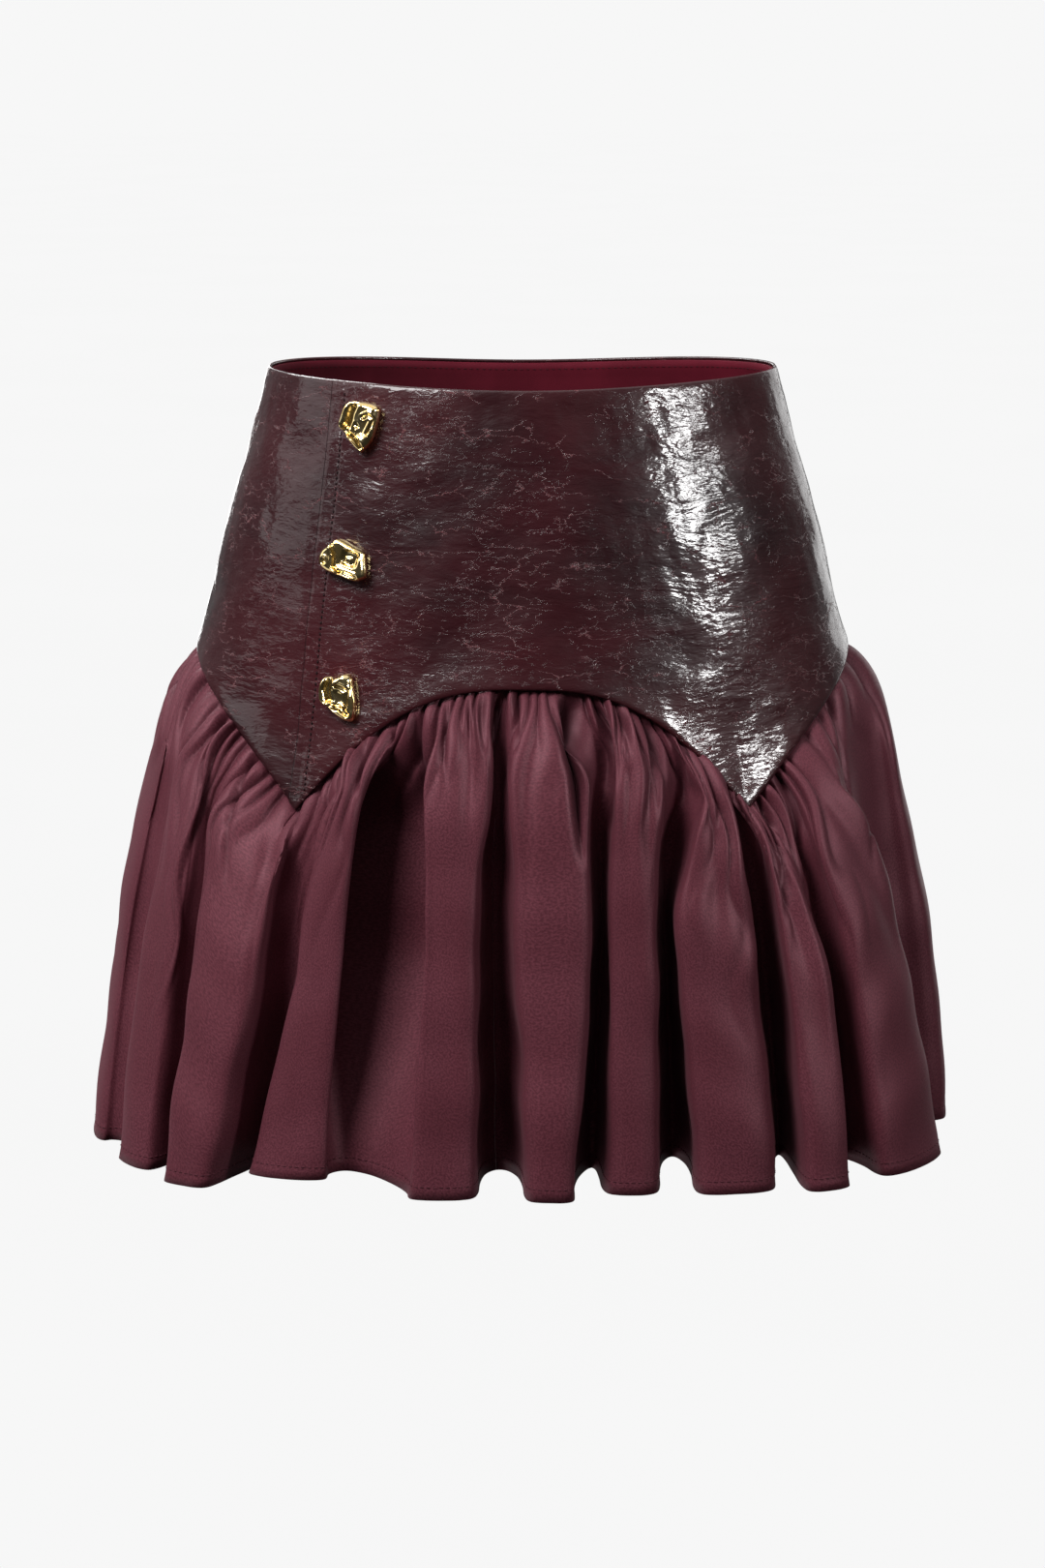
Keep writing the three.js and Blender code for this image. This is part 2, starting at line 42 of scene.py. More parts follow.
# Leather yoke, front panel. The real piece is one shaped panel of glossy crinkled leather from the
# placket's lap edge to the wearer's left side seam. It is cut to a scalloped lower edge, which the
# flounce pushes out a little. Its edges are turned under, and the lap's edge is painted dark; that
# dark band also stands in as painted shade for the shadow line at the lap's step.
def table(columns, *rows):
    """Rows of values as dicts, with the names of their columns."""
    return [dict(zip(columns.split(), row)) for row in rows]


# The worn form, from the top down, in millimetres, and where the lap's edge lies on it, in degrees.
SECTIONS = table(
    "z half_width half_depth squareness lap_angle",
    (6, 121.5, 87.5, 2.05, -55.2),
    (0, 123.0, 88.0, 2.05, -54.8),
    (-31, 131.0, 94.0, 2.1, -52.5),
    (-71, 143.0, 102.0, 2.15, -50.4),
    (-110, 152.0, 109.0, 2.2, -49.1),
    (-140, 156.8, 113.5, 2.25, -48.4),
    (-170, 160.5, 117.0, 2.3, -47.9),
    (-208, 166.5, 122.0, 2.4, -47.2),
    (-257, 176.0, 127.5, 2.6, -47.2),
    (-306, 183.5, 132.0, 2.85, -47.2),
    (-345, 188.5, 135.5, 3.05, -47.2),
    (-385, 193.0, 138.0, 3.2, -47.2),
)
WAIST_DIP_FRONT, WAIST_DIP_BACK = 4, 6
POINT_ANGLE, POINT_Z = 45.7, -199
CENTRE_ARCH_TOP, CENTRE_ARCH_POWER = -139.5, 2.9
SIDE_ARCH_TOP, SIDE_ARCH_POWER = -136, 1.75
HIP_Z = -100
LEATHER_WALL = 1.2
SEAM_GAP = 0.3
SEAM_TUCK, SEAM_TUCK_REACH = 0.7, 1.4
UNDERLAP, UNDERLAP_EASE, SETTLE = 22, 1, 20
LEAN_REACH = 40
EDGE_FLARE, EDGE_FLARE_REACH, FLARE_PASSES = 4.0, 35, 60
EDGE_ROLL, WAIST_ROLL, ROLL_REACH = 1.0, 0.6, 1.1
CALM_BELOW_WAIST, CALM_ABOVE_EDGE = 12, 8
BROAD_WAVER = dict(seed=5, pitch=46, height=0.30)
FINE_WAVER = dict(seed=11, pitch=15, height=0.07)
LAP_RIDGE, LAP_RIDGE_INSET, LAP_RIDGE_REACH = 0.15, 2.6, 2.0
LAP_STITCH_SINK, LAP_STITCH_INSET, LAP_STITCH_REACH = 0.22, 8, 0.9
LAP_ROLL, LAP_ROLL_REACH = 0.7, 0.35
# Width of the lap edge's dark band: edge colour and painted shade.
EDGE_PAINT_AND_SHADE_WIDTH = 0.75
YOKE_ROWS, ROW_CROWDING = 76, 0.1
YOKE_STEP = 0.55
LAP_STEP, LAP_STRETCH = 0.11, 4.0


def section_value(z, column):
    """A column of SECTIONS at heights z, as a smooth curve through the rows."""
    heights = np.array([row["z"] for row in SECTIONS], float)
    values = np.array([row[column] for row in SECTIONS], float)
    slopes = np.gradient(values)
    slopes[1:-1] = (values[2:] - values[:-2]) / (heights[2:] - heights[:-2])
    slopes[0] = (values[1] - values[0]) / (heights[1] - heights[0])
    slopes[-1] = (values[-1] - values[-2]) / (heights[-1] - heights[-2])
    row = np.clip(np.searchsorted(-heights, -np.asarray(z, float)) - 1, 0, len(heights) - 2)
    span = heights[row + 1] - heights[row]
    t = np.clip((z - heights[row]) / span, 0, 1)
    return (
        (2 * t**3 - 3 * t**2 + 1) * values[row]
        + (t**3 - 2 * t**2 + t) * span * slopes[row]
        + (3 * t**2 - 2 * t**3) * values[row + 1]
        + (t**3 - t**2) * span * slopes[row + 1]
    )


def body_point(angle, z, grow=0.0):
    """Points of the worn form's oval, in millimetres, at angles in degrees round from the front."""
    half_width = section_value(z, "half_width") + grow
    half_depth = section_value(z, "half_depth") + grow
    power = section_value(z, "squareness")
    sine = np.sin(np.radians(angle))
    cosine = np.cos(np.radians(angle))
    radius = (np.abs(sine / half_width) ** power + np.abs(cosine / half_depth) ** power) ** (-1 / power)
    return np.stack([radius * sine, -radius * cosine, z + 0 * radius], -1)


def body_normal(angle, z):
    round_step = body_point(angle + 0.5, z) - body_point(angle - 0.5, z)
    down_step = body_point(angle, z - 1) - body_point(angle, z + 1)
    normal = np.cross(down_step, round_step)
    return normal / np.linalg.norm(normal, axis=-1, keepdims=True)


def smooth(value):
    value = np.clip(value, 0, 1)
    return value**2 * (3 - 2 * value)


def from_nearest_centre(angle):
    """Degrees from the centre front or the centre back, whichever is nearer."""
    from_front = np.abs((angle + 180) % 360 - 180)
    return np.minimum(from_front, 180 - from_front)


def waist_z(angle):
    facing = np.cos(np.radians(angle))
    return -np.where(facing > 0, WAIST_DIP_FRONT, WAIST_DIP_BACK) * facing**2


def seam_z(angle):
    """Height of the yoke's scalloped edge."""
    from_centre = from_nearest_centre(angle)
    centre_share = np.clip(from_centre / POINT_ANGLE, 0, 1)
    side_share = np.clip((90 - from_centre) / (90 - POINT_ANGLE), 0, 1)
    centre = CENTRE_ARCH_TOP + (POINT_Z - CENTRE_ARCH_TOP) * centre_share**CENTRE_ARCH_POWER
    side = SIDE_ARCH_TOP + (POINT_Z - SIDE_ARCH_TOP) * side_share**SIDE_ARCH_POWER
    return np.where(from_centre <= POINT_ANGLE, centre, side)


def arc_angle(length, angle, z):
    """Degrees that a length in millimetres takes up round the form."""
    step = np.linalg.norm(body_point(angle + 0.5, z) - body_point(angle - 0.5, z), axis=-1)
    return length / step


def length_round(angle):
    """Millimetres round the form at hip height, from the centre front to each angle."""
    turns = np.arange(-180, 361.0)
    steps = np.linalg.norm(np.diff(body_point(turns, HIP_Z), axis=0), axis=-1)
    lengths = np.concatenate([[0], np.cumsum(steps)])
    return np.interp(angle, turns, lengths - np.interp(0, turns, lengths))


def wavering(round_mm, down_mm, seed, pitch, height):
    """A gentle uneven surface: a sum of slanted waves with seeded directions and phases."""
    random = np.random.default_rng(seed)
    total = 0
    for wave in range(7):
        heading = random.uniform(0, math.pi)
        length = pitch * random.uniform(0.6, 1.5)
        along = round_mm * math.cos(heading) + down_mm * math.sin(heading)
        total = total + np.sin(2 * math.pi * along / length + random.uniform(0, 6.28))
    return height * total / 2.6


def grid_normals(grid, ring=False):
    """Outward normals of a grid of points [column][row], columns going round and rows down."""
    if ring:
        round_step = np.roll(grid, -1, 0) - np.roll(grid, 1, 0)
    else:
        round_step = np.gradient(grid, axis=0)
    normal = np.cross(np.gradient(grid, axis=1), round_step)
    return normal / np.maximum(np.linalg.norm(normal, axis=-1, keepdims=True), 1e-9)


def cloth_shell(name, grid, inner, cloth_map=None, ring=False):
    """A closed shell of cloth between two grids, with the cloth's own lengths as a UV map."""
    columns, rows = grid.shape[:2]
    points = np.concatenate([grid.reshape(-1, 3), inner.reshape(-1, 3)]) * MM
    index = np.arange(columns * rows).reshape(columns, rows)
    if ring:
        index = np.concatenate([index, index[:1]])
    back = index + columns * rows

    def quads(a, b, c, d):
        return np.stack([a, b, c, d], -1).reshape(-1, 4)

    faces = [
        quads(index[:-1, :-1], index[:-1, 1:], index[1:, 1:], index[1:, :-1]),
        quads(back[:-1, :-1], back[1:, :-1], back[1:, 1:], back[:-1, 1:]),
        quads(index[:-1, 0], index[1:, 0], back[1:, 0], back[:-1, 0]),
        quads(index[:-1, -1], back[:-1, -1], back[1:, -1], index[1:, -1]),
    ]
    if not ring:
        faces.append(quads(index[0, :-1], back[0, :-1], back[0, 1:], index[0, 1:]))
        faces.append(quads(index[-1, :-1], index[-1, 1:], back[-1, 1:], back[-1, :-1]))
    mesh = bpy.data.meshes.new(name)
    mesh.from_pydata(points.tolist(), [], np.concatenate(faces).tolist())
    mesh.shade_smooth()
    if cloth_map is None:
        across = np.cumsum(np.linalg.norm(np.diff(grid, axis=0, prepend=grid[:1]), axis=-1), axis=0)
        down = np.cumsum(np.linalg.norm(np.diff(grid, axis=1, prepend=grid[:, :1]), axis=-1), axis=1)
        cloth_map = np.stack([across[:, -1:] + 0 * down, down], -1)
    flat = np.tile(cloth_map.reshape(-1, 2) * MM, (2, 1))
    corner = np.empty(len(mesh.loops), int)
    mesh.loops.foreach_get("vertex_index", corner)
    mesh.uv_layers.new(name="cloth").data.foreach_set("uv", flat[corner].ravel())
    piece = bpy.data.objects.new(name, mesh)
    bpy.context.collection.objects.link(piece)
    return piece


def panel_angles(start, end, close=0.0):
    """Angles of a panel's columns at its lower edge, with one on each scallop point inside it, and
    closer ones for the first stretch."""
    points = (-POINT_ANGLE, POINT_ANGLE, 180 - POINT_ANGLE, 180 + POINT_ANGLE)
    inside = {angle for angle in (start + close, *points) if start < angle < end}
    stops = [start, *sorted(inside), end]
    runs = []
    for first, last in zip(stops, stops[1:]):
        step = LAP_STEP if last <= start + close else YOKE_STEP
        steps = max(2, round((last - first) / step))
        runs.append(np.linspace(first, last, steps + 1)[:-1])
    return np.concatenate([*runs, [end]])


def lap_lean(seam_angle, z):
    """Lean of the columns near the placket, so that they run along its slanted edge."""
    share = np.clip(1 - np.abs(seam_angle - lap_at_seam) / LEAN_REACH, 0, 1)
    return (section_value(z, "lap_angle") - section_value(seam_z(seam_angle), "lap_angle")) * share


def past_lap(angle, z):
    """Millimetres round from the lap edge."""
    lap = section_value(z, "lap_angle")
    return (angle - lap) / arc_angle(1, lap, z)


def evened(values, passes):
    """Values [column][row] smoothed round the form."""
    for _ in range(passes):
        padded = np.concatenate([values[:1], values, values[-1:]])
        values = (padded[:-2] + 2 * padded[1:-1] + padded[2:]) / 4
    return values


def yoke_panel(name, start, end, lean, relief, close=0.0):
    """A leather panel between two angles: relief(angle, z) is its height off the form. With a close
    stretch at its start, that edge also gets a dark band: the edge's own dark colour, and painted
    shade for the shadow line at the lap's step."""
    seam_angle = panel_angles(start, end, close)[:, None]
    t = np.linspace(0, 1, YOKE_ROWS)[None, :]
    share = t - ROW_CROWDING * np.sin(2 * math.pi * t)
    straight = waist_z(seam_angle) + (seam_z(seam_angle) - waist_z(seam_angle)) * share
    angle = seam_angle + lean(seam_angle, straight)
    z = waist_z(angle) + (seam_z(seam_angle) - waist_z(angle)) * share
    foot = seam_angle[:, 0]
    slope = np.gradient(seam_z(foot), foot) * arc_angle(1, foot, POINT_Z)
    to_edge = (z - seam_z(seam_angle)) / np.hypot(1, slope)[:, None]
    to_waist = waist_z(angle) - z
    lift = relief(angle, z)
    flare = EDGE_FLARE * np.clip(1 - to_edge / EDGE_FLARE_REACH, 0, 1) ** 2
    lift = lift + evened(flare, FLARE_PASSES)
    lift = lift - EDGE_ROLL * np.exp(-to_edge / ROLL_REACH)
    lift = lift - WAIST_ROLL * np.exp(-to_waist / ROLL_REACH)
    round_mm = length_round(angle) + 0 * z
    calm = smooth(to_waist / CALM_BELOW_WAIST) * smooth(to_edge / CALM_ABOVE_EDGE + 0.3)
    lift = lift + calm * (wavering(round_mm, z, **BROAD_WAVER) + wavering(round_mm, z, **FINE_WAVER))
    grid = body_point(angle, z) + body_normal(angle, z) * lift[..., None]
    inner = grid - grid_normals(grid) * LEATHER_WALL
    piece = cloth_shell(name, grid, inner, np.stack([round_mm, -z], -1))
    if close:
        # Dark band along the lap's edge: the edge is painted dark, and the band is also painted shade for the
        # shadow line at the lap's step.
        painted = np.exp(-((past_lap(angle, z) / EDGE_PAINT_AND_SHADE_WIDTH) ** 4))
        share = piece.data.attributes.new("edge_paint_and_shade", "FLOAT", "POINT")
        share.data.foreach_set("value", np.tile(painted.ravel(), 2))
    return piece


lap_at_seam = float(section_value(POINT_Z, "lap_angle"))
half_gap = float(arc_angle(SEAM_GAP / 2, 90, POINT_Z))


def seam_tuck(angle, seam_at):
    """The leather turning in at an upright seam."""
    distance = np.abs(angle - seam_at) / arc_angle(1, seam_at, HIP_Z)
    return -SEAM_TUCK * np.exp(-distance / SEAM_TUCK_REACH)


def front_relief(angle, z):
    beyond = past_lap(angle, z)
    lapped = (LEATHER_WALL + SEAM_GAP) * (1 - smooth((beyond - UNDERLAP - UNDERLAP_EASE) / SETTLE))
    ridge = LAP_RIDGE * np.exp(-(((beyond - LAP_RIDGE_INSET) / LAP_RIDGE_REACH) ** 2))
    stitched = LAP_STITCH_SINK * np.exp(-(((beyond - LAP_STITCH_INSET) / LAP_STITCH_REACH) ** 2))
    rolled = LAP_ROLL * np.exp(-beyond / LAP_ROLL_REACH)
    return lapped + ridge - stitched - rolled + seam_tuck(angle, 90)


class Graph:
    """The nodes of one tree: each call adds a node and gives back what comes out of it."""

    def __init__(self, tree):
        self.nodes, self.links = tree.nodes, tree.links

    def feed(self, node, inputs):
        """Sets a node's inputs, by name or number: sockets are linked, other values set."""
        for name, value in inputs.items():
            if isinstance(value, bpy.types.NodeSocket):
                self.links.new(value, node.inputs[name])
            else:
                node.inputs[name].default_value = value

    def add(self, kind, inputs=(), **settings):
        node = self.nodes.new(kind)
        for name, value in settings.items():
            setattr(node, name, value)
        self.feed(node, dict(inputs))
        return node.outputs

    def object_place(self):
        return self.add("ShaderNodeTexCoord")["Object"]

    def cloth_place(self):
        return self.add("ShaderNodeUVMap", uv_map="cloth")["UV"]

    def attribute(self, name):
        return self.add("ShaderNodeAttribute", attribute_name=name)["Fac"]

    def noise(self, vector, scale, detail, roughness=0.5, distortion=0.0):
        inputs = dict(Vector=vector, Scale=scale, Detail=detail, Roughness=roughness, Distortion=distortion)
        return self.add("ShaderNodeTexNoise", inputs)["Fac"]

    def math(self, operation, first, second, clamp=False):
        return self.add("ShaderNodeMath", {0: first, 1: second}, operation=operation, use_clamp=clamp)[0]

    def vector(self, operation, first, second):
        return self.add("ShaderNodeVectorMath", {0: first, 1: second}, operation=operation)[0]

    def remap(self, value, low, high, to_low=0.0, to_high=1.0):
        inputs = {"Value": value, "From Min": low, "From Max": high, "To Min": to_low, "To Max": to_high}
        return self.add("ShaderNodeMapRange", inputs, interpolation_type="SMOOTHSTEP")["Result"]

    def blend(self, share, first, second):
        """Colour between two colours, each a tuple or what comes out of a node."""
        first, second = ((*value, 1) if isinstance(value, tuple) else value for value in (first, second))
        return self.add("ShaderNodeMix", dict(Factor=share, A=first, B=second), data_type="RGBA")["Result"]

    def bump(self, height, strength, distance, under=None):
        inputs = dict(Height=height, Strength=strength, Distance=distance)
        if under is not None:
            inputs["Normal"] = under
        return self.add("ShaderNodeBump", inputs)["Normal"]


def new_material(name):
    """A new material, its graph and its shader."""
    material = bpy.data.materials.new(name)
    material.use_nodes = True
    graph = Graph(material.node_tree)
    return material, graph, graph.nodes["Principled BSDF"]


def crease_group():
    """Fine creases of crinkled leather: the walls between uneven cells, bent and broken by noise."""
    tree = bpy.data.node_groups.new("leather creases", "ShaderNodeTree")
    tree.interface.new_socket("Vector", in_out="INPUT", socket_type="NodeSocketVector")
    for label in ("Scale", "Width", "Gaps"):
        tree.interface.new_socket(label, in_out="INPUT", socket_type="NodeSocketFloat")
    tree.interface.new_socket("Lines", in_out="OUTPUT", socket_type="NodeSocketFloat")
    graph = Graph(tree)
    given = graph.add("NodeGroupInput")
    scaled = {0: given["Vector"], "Scale": given["Scale"]}
    cells = graph.add("ShaderNodeVectorMath", scaled, operation="SCALE")[0]
    wander = graph.add("ShaderNodeTexNoise", dict(Vector=cells, Scale=1.1, Detail=5, Roughness=0.62))
    centred = graph.vector("SUBTRACT", wander["Color"], (0.5, 0.5, 0.5))
    bent = graph.vector("ADD", cells, graph.vector("MULTIPLY", centred, (1.9, 1.9, 0)))
    walls = graph.add(
        "ShaderNodeTexVoronoi",
        dict(Vector=bent, Scale=1.0),
        voronoi_dimensions="2D",
        feature="DISTANCE_TO_EDGE",
    )
    near = graph.math("DIVIDE", walls["Distance"], given["Width"])
    line = graph.remap(near, 0.0, 1.0, 1.0, 0.0)
    breaks = graph.noise(graph.vector("ADD", cells, (31.0, 77.0, 0)), 0.8, 3)
    shown = graph.math("MULTIPLY", graph.math("SUBTRACT", breaks, given["Gaps"]), 9.0, clamp=True)
    result = graph.nodes.new("NodeGroupOutput")
    graph.feed(result, {"Lines": graph.math("MULTIPLY", line, shown)})
    return tree


creases = crease_group()


def crease_lines(graph, vector, scale, width, gaps):
    inputs = dict(Vector=vector, Scale=scale, Width=width, Gaps=gaps)
    return graph.add("ShaderNodeGroup", inputs, node_tree=creases)["Lines"]


def leather_material():
    """Burgundy-brown patent leather: mottled colour, fine crease ridges in a paler colour that is
    partly their own and partly a painted highlight on them, and a broken gloss.
    """
    material, graph, shader = new_material("crinkled patent leather")
    place = graph.object_place()
    stretched = dict(Vector=graph.cloth_place(), Scale=(0.4, 1.0, 1.0))
    along = graph.add("ShaderNodeMapping", stretched)["Vector"]
    patches = graph.remap(graph.noise(place, 16, 3), 0.42, 0.6)
    clusters = graph.remap(graph.noise(place, 27, 3), 0.42, 0.58)
    long_lines = crease_lines(graph, along, 105, 0.028, 0.5)
    short_lines = graph.math("MULTIPLY", crease_lines(graph, along, 280, 0.045, 0.5), patches)
    tiny_lines = graph.math("MULTIPLY", crease_lines(graph, along, 520, 0.11, 0.45), clusters)
    lines = graph.math("MAXIMUM", long_lines, short_lines)

    mottle = graph.remap(graph.noise(along, 24, 5, 0.6, 0.4), 0.36, 0.68)
    cloud = graph.remap(graph.noise(place, 9, 2), 0.35, 0.7)
    colour = graph.blend(mottle, (0.017, 0.003, 0.0047), (0.037, 0.006, 0.009))
    warmer = graph.blend(cloud, colour, (0.049, 0.0074, 0.0106))
    # Crease lines are paler: partly their own colour, partly a painted highlight for light caught on their
    # ridges.
    creased_and_highlit = graph.blend(graph.math("MULTIPLY", lines, 0.55), warmer, (0.25, 0.085, 0.095))
    # The lap edge's dark band: dark edge colour, and painted shade for the shadow line at the lap's step.
    paint_and_shade = graph.attribute("edge_paint_and_shade")

    waves = graph.noise(along, 60, 4, 0.6, 0.6)
    puckers = graph.noise(along, 230, 3, 0.6, 0.4)
    ridges = graph.math("ADD", lines, graph.math("MULTIPLY", tiny_lines, 0.2))
    puckered = graph.bump(puckers, 0.65, 0.0005, graph.bump(waves, 0.45, 0.0018))
    normal = graph.bump(ridges, 0.6, 0.0003, puckered)
    unglossed = graph.math("MAXIMUM", graph.math("MULTIPLY", lines, 0.8), paint_and_shade)
    graph.feed(shader, {
        "Base Color": graph.blend(paint_and_shade, creased_and_highlit, (0.004, 0.0015, 0.002)),
        "Roughness": graph.remap(graph.noise(place, 40, 4), 0.3, 0.75, 0.36, 0.5),
        "Specular IOR Level": 0.16,
        "Coat Weight": graph.remap(unglossed, 0, 1, 0.85, 0.03),
        "Coat Roughness": 0.085,
        "Coat IOR": 1.4,
        "Normal": normal,
        "Coat Normal": normal,
    })
    return material


leather = leather_material()


def dress(piece, material, node):
    """Gives a piece its finish and body, and lets it stand for its plain solid."""
    piece.data.materials.append(material)
    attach(piece, "root")
    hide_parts(node)


front_end = 90 - half_gap
yoke_front = yoke_panel("yoke_front_leather", lap_at_seam, front_end, lap_lean, front_relief, LAP_STRETCH)
dress(yoke_front, leather, "yoke_front")


# Leather yoke, side panel. The narrower front panel at the wearer's right, whose edge runs on
# under the placket as the underlap that the buttons hold. It lies flat on the form.
def side_relief(angle, z):
    return seam_tuck(angle, -90)


side_end = lap_at_seam + float(arc_angle(UNDERLAP, lap_at_seam, POINT_Z))
yoke_side = yoke_panel("yoke_side_leather", -90 + half_gap, side_end, lap_lean, side_relief)
dress(yoke_side, leather, "yoke_side")


# Leather yoke, back panel. One plain panel between the side seams with the same scallops as the
# front, since the picture doesn't show the back.
def back_relief(angle, z):
    return seam_tuck(angle, 90) + seam_tuck(angle, 270)


yoke_back = yoke_panel("yoke_back_leather", 90 + half_gap, 270 - half_gap, lambda a, z: 0 * a, back_relief)
dress(yoke_back, leather, "yoke_back")


# Lining. A thin dark red woven ring inside the yoke, understitched just below the waist edge; it
# shows only at the back through the waist opening.
LINING_TOP, LINING_BOTTOM = 1.3, -132
LINING_WALL = 0.8
LINING_GAP, LINING_EASE = 0.75, 0.3
LINING_STITCH_DROP, LINING_STITCH_SINK = 4.5, 0.3


def lining_material():
    material, graph, shader = new_material("red woven lining")
    place = graph.cloth_place()
    cloudy = graph.remap(graph.noise(place, 30, 3), 0.3, 0.7)
    graph.feed(shader, {
        "Base Color": graph.blend(cloudy, (0.085, 0.0045, 0.0125), (0.11, 0.0065, 0.017)),
        "Roughness": 0.8,
        "Specular IOR Level": 0.12,
        "Normal": graph.bump(graph.noise(place, 1500, 2), 0.3, 0.0002),
    })
    return material


lining_angle = np.linspace(0, 360, 240, endpoint=False)[:, None]
lining_share = np.linspace(0, 1, 40)[None, :]
lining_z = (waist_z(lining_angle) - LINING_TOP) * (1 - lining_share) + LINING_BOTTOM * lining_share
to_stitches = waist_z(lining_angle) - lining_z - LINING_STITCH_DROP
lining_lift = -LINING_STITCH_SINK * np.exp(-((to_stitches / 0.9) ** 2))
lining_lift = lining_lift - LEATHER_WALL - LINING_GAP - LINING_EASE * smooth((-lining_z - 6) / 20)
lining_grid = body_point(lining_angle, lining_z)
lining_grid = lining_grid + body_normal(lining_angle, lining_z) * lining_lift[..., None]
lining_inner = lining_grid - grid_normals(lining_grid, ring=True) * LINING_WALL
lining = cloth_shell("lining_ring", lining_grid, lining_inner, ring=True)
dress(lining, lining_material(), "lining")


# Gathered satin flounce, four panels. Each is a curved strip of heavy satin, about twice the
# length of its seam, gathered into the scalloped edge, so it puffs out below it and falls in deep
# uneven folds. One ring of cloth is laid out along the big folds, small gathers and creases are
# pressed into it, and the ring is then cut at the four seams.
HEM_Z = -370.3
PUFF, PUFF_REACH = 23, 18
TUCK_UNDER, TUCK_REACH, TUCK_RISE = 0.9, 2.2, 3.0
TUCKED_ROWS, ROW_POWER = 0.03, 1.45
TOP_LEVEL, MID_LEVEL = 0.12, 0.5
DEPTH_POWER = 0.62
EVEN_LEVEL = 0.18
LIFT_POWER = 3
SIDE_PUSH_START = 35
HEM_STITCH_RISE, HEM_STITCH_SINK, HEM_STITCH_REACH = 6.0, 0.35, 1.0
HEM_TURN, HEM_TURN_REACH = 0.3, 5
BROAD_SAG = dict(seed=3, pitch=60, height=0.6)
FINE_SAG = dict(seed=9, pitch=17, height=0.55)
BROAD_SAG_START, FINE_SAG_START, SAG_STRETCH = 60, 40, 0.2
SATIN_WALL = 0.8
STATION_COLUMNS = 7
FLOUNCE_ROWS = 66
FOLDS = table(
    "fold left right out depth shift lift",
    ("a", (-100, -100, -100), (-74, -73, -71), -2, 14, 0, 0),
    ("b", (-69.5, -66, -63.5), (-60.5, -57, -55.5), -4, 32, 1, 0),
    ("c", (-57, -53.3, -52.2), (-42, -43, -46), 3, 44, 5, 0),
    ("d", (-34, -37.5, -42), (-29, -29, -30), -6, 17, 1, 6),
    ("e", (-19.4, -17.3, -18.5), (-5.4, -7.7, -7.5), 1, 46, 0, 0),
    ("f", (-3.6, -1.4, 0.8), (13.4, 12, 8.8), 5, 46, 0, 0),
    ("g", (17.6, 14.8, 13.4), (27, 23, 22), -6, 58, 0, 0),
    ("h", (33.5, 25.8, 27.2), (37.4, 37.8, 38.4), -3, 56, 0, 0),
    ("i", (43, 42.2, 41.4), (47.6, 49, 48.2), 3, 40, 0, 0),
    ("j", (51.5, 52.5, 52.5), (61, 66, 67.5), 0, 36, -1, 0),
    ("k", (80, 80, 80), (100, 100, 100), 0, 34, 0, 0),
    ("l", (108, 107, 106), (117, 117, 118), -2, 42, 1, 1),
    ("m", (124, 125, 125), (131, 133, 135), 2, 50, 0, 0),
    ("n", (141, 141, 142), (150, 151, 151), -3, 44, -1, 2),
    ("o", (156, 157, 157), (167, 167, 166), 2, 54, 0, 0),
    ("p", (173, 172, 172), (186, 185, 183), 4, 42, 1, 1),
    ("q", (191, 191, 190), (199, 201, 202), -4, 54, 0, 0),
    ("r", (207, 208, 209), (218, 218, 217), 2, 48, 0, 2),
    ("s", (225, 224, 223), (233, 233, 234), 0, 40, 1, 0),
    ("t", (240, 241, 241), (250, 249, 250), -2, 28, 0, 1),
)
FOLD_PROFILE = table(
    "stretch across depth",
    ("crest", 0.0, 0.0),
    ("crest", 0.5, 0.01),
    ("crest", 0.86, 0.07),
    ("valley", 0.0, 0.24),
    ("valley", 0.04, 0.54),
    ("valley", 0.16, 0.83),
    ("valley", 0.38, 1.0),
    ("valley", 0.62, 1.0),
    ("valley", 0.84, 0.83),
    ("valley", 0.96, 0.54),
    ("valley", 1.0, 0.24),
    ("next", 0.14, 0.07),
    ("next", 0.5, 0.01),
)
STATIONS = len(FOLD_PROFILE)
STATIONS_ROUND = len(FOLDS) * STATIONS
STATION_LENGTH = 4.2
FLOUNCE_PANELS = table(
    "name start end flat_width beside",
    ("flounce_front_right", ("a", 0), ("e", 6), 0.47, "front"),
    ("flounce_front_left", ("e", 6), ("k", 0), 0.59, "front"),
    ("flounce_back_left", ("k", 0), ("o", 6), 0.46, "back"),
    ("flounce_back_right", ("o", 6), ("a", 0), 0.60, "back"),
)


def edge_angle(values, level):
    """Angle of a fold's edge at a level, from its angles near the seam, half way down and at the hem."""
    top, mid, hem = values
    high = mid + (top - mid) * (1 - np.clip((level - TOP_LEVEL) / (MID_LEVEL - TOP_LEVEL), 0, 1)) ** 2
    low = mid + (hem - mid) * (level - MID_LEVEL) / (1 - MID_LEVEL)
    return np.where(level >= MID_LEVEL, low, high)


def fold_stations(level):
    """For each station round the hem: its angle, its valley depth, and its lift, at some levels."""
    angles, depths, lifts = [], [], []
    for number, fold in enumerate(FOLDS):
        after = FOLDS[(number + 1) % len(FOLDS)]
        wrap = 360 if number == len(FOLDS) - 1 else 0
        right = edge_angle(fold["right"], level)
        next_left = edge_angle(after["left"], level) + wrap
        crest = (edge_angle(fold["left"], level) + right) / 2
        next_crest = (next_left + edge_angle(after["right"], level) + wrap) / 2
        ends = dict(crest=(crest, right), valley=(right, next_left), next=(next_left, next_crest))
        for station, row in enumerate(FOLD_PROFILE):
            start, end = ends[row["stretch"]]
            folded = start + (end - start) * row["across"] + fold["shift"] * row["depth"] * level
            even = crest + (next_crest - crest) * station / STATIONS
            taken_over = float(smooth(3 * station / STATIONS - 1))
            out = fold["out"] + (after["out"] - fold["out"]) * taken_over
            raised = fold["lift"] + (after["lift"] - fold["lift"]) * taken_over
            angles.append(even + (folded - even) * smooth(level / EVEN_LEVEL))
            depths.append((fold["depth"] * row["depth"] - out) * level**DEPTH_POWER)
            lifts.append(raised * level**LIFT_POWER)
    return np.array(angles), np.array(depths), np.array(lifts)


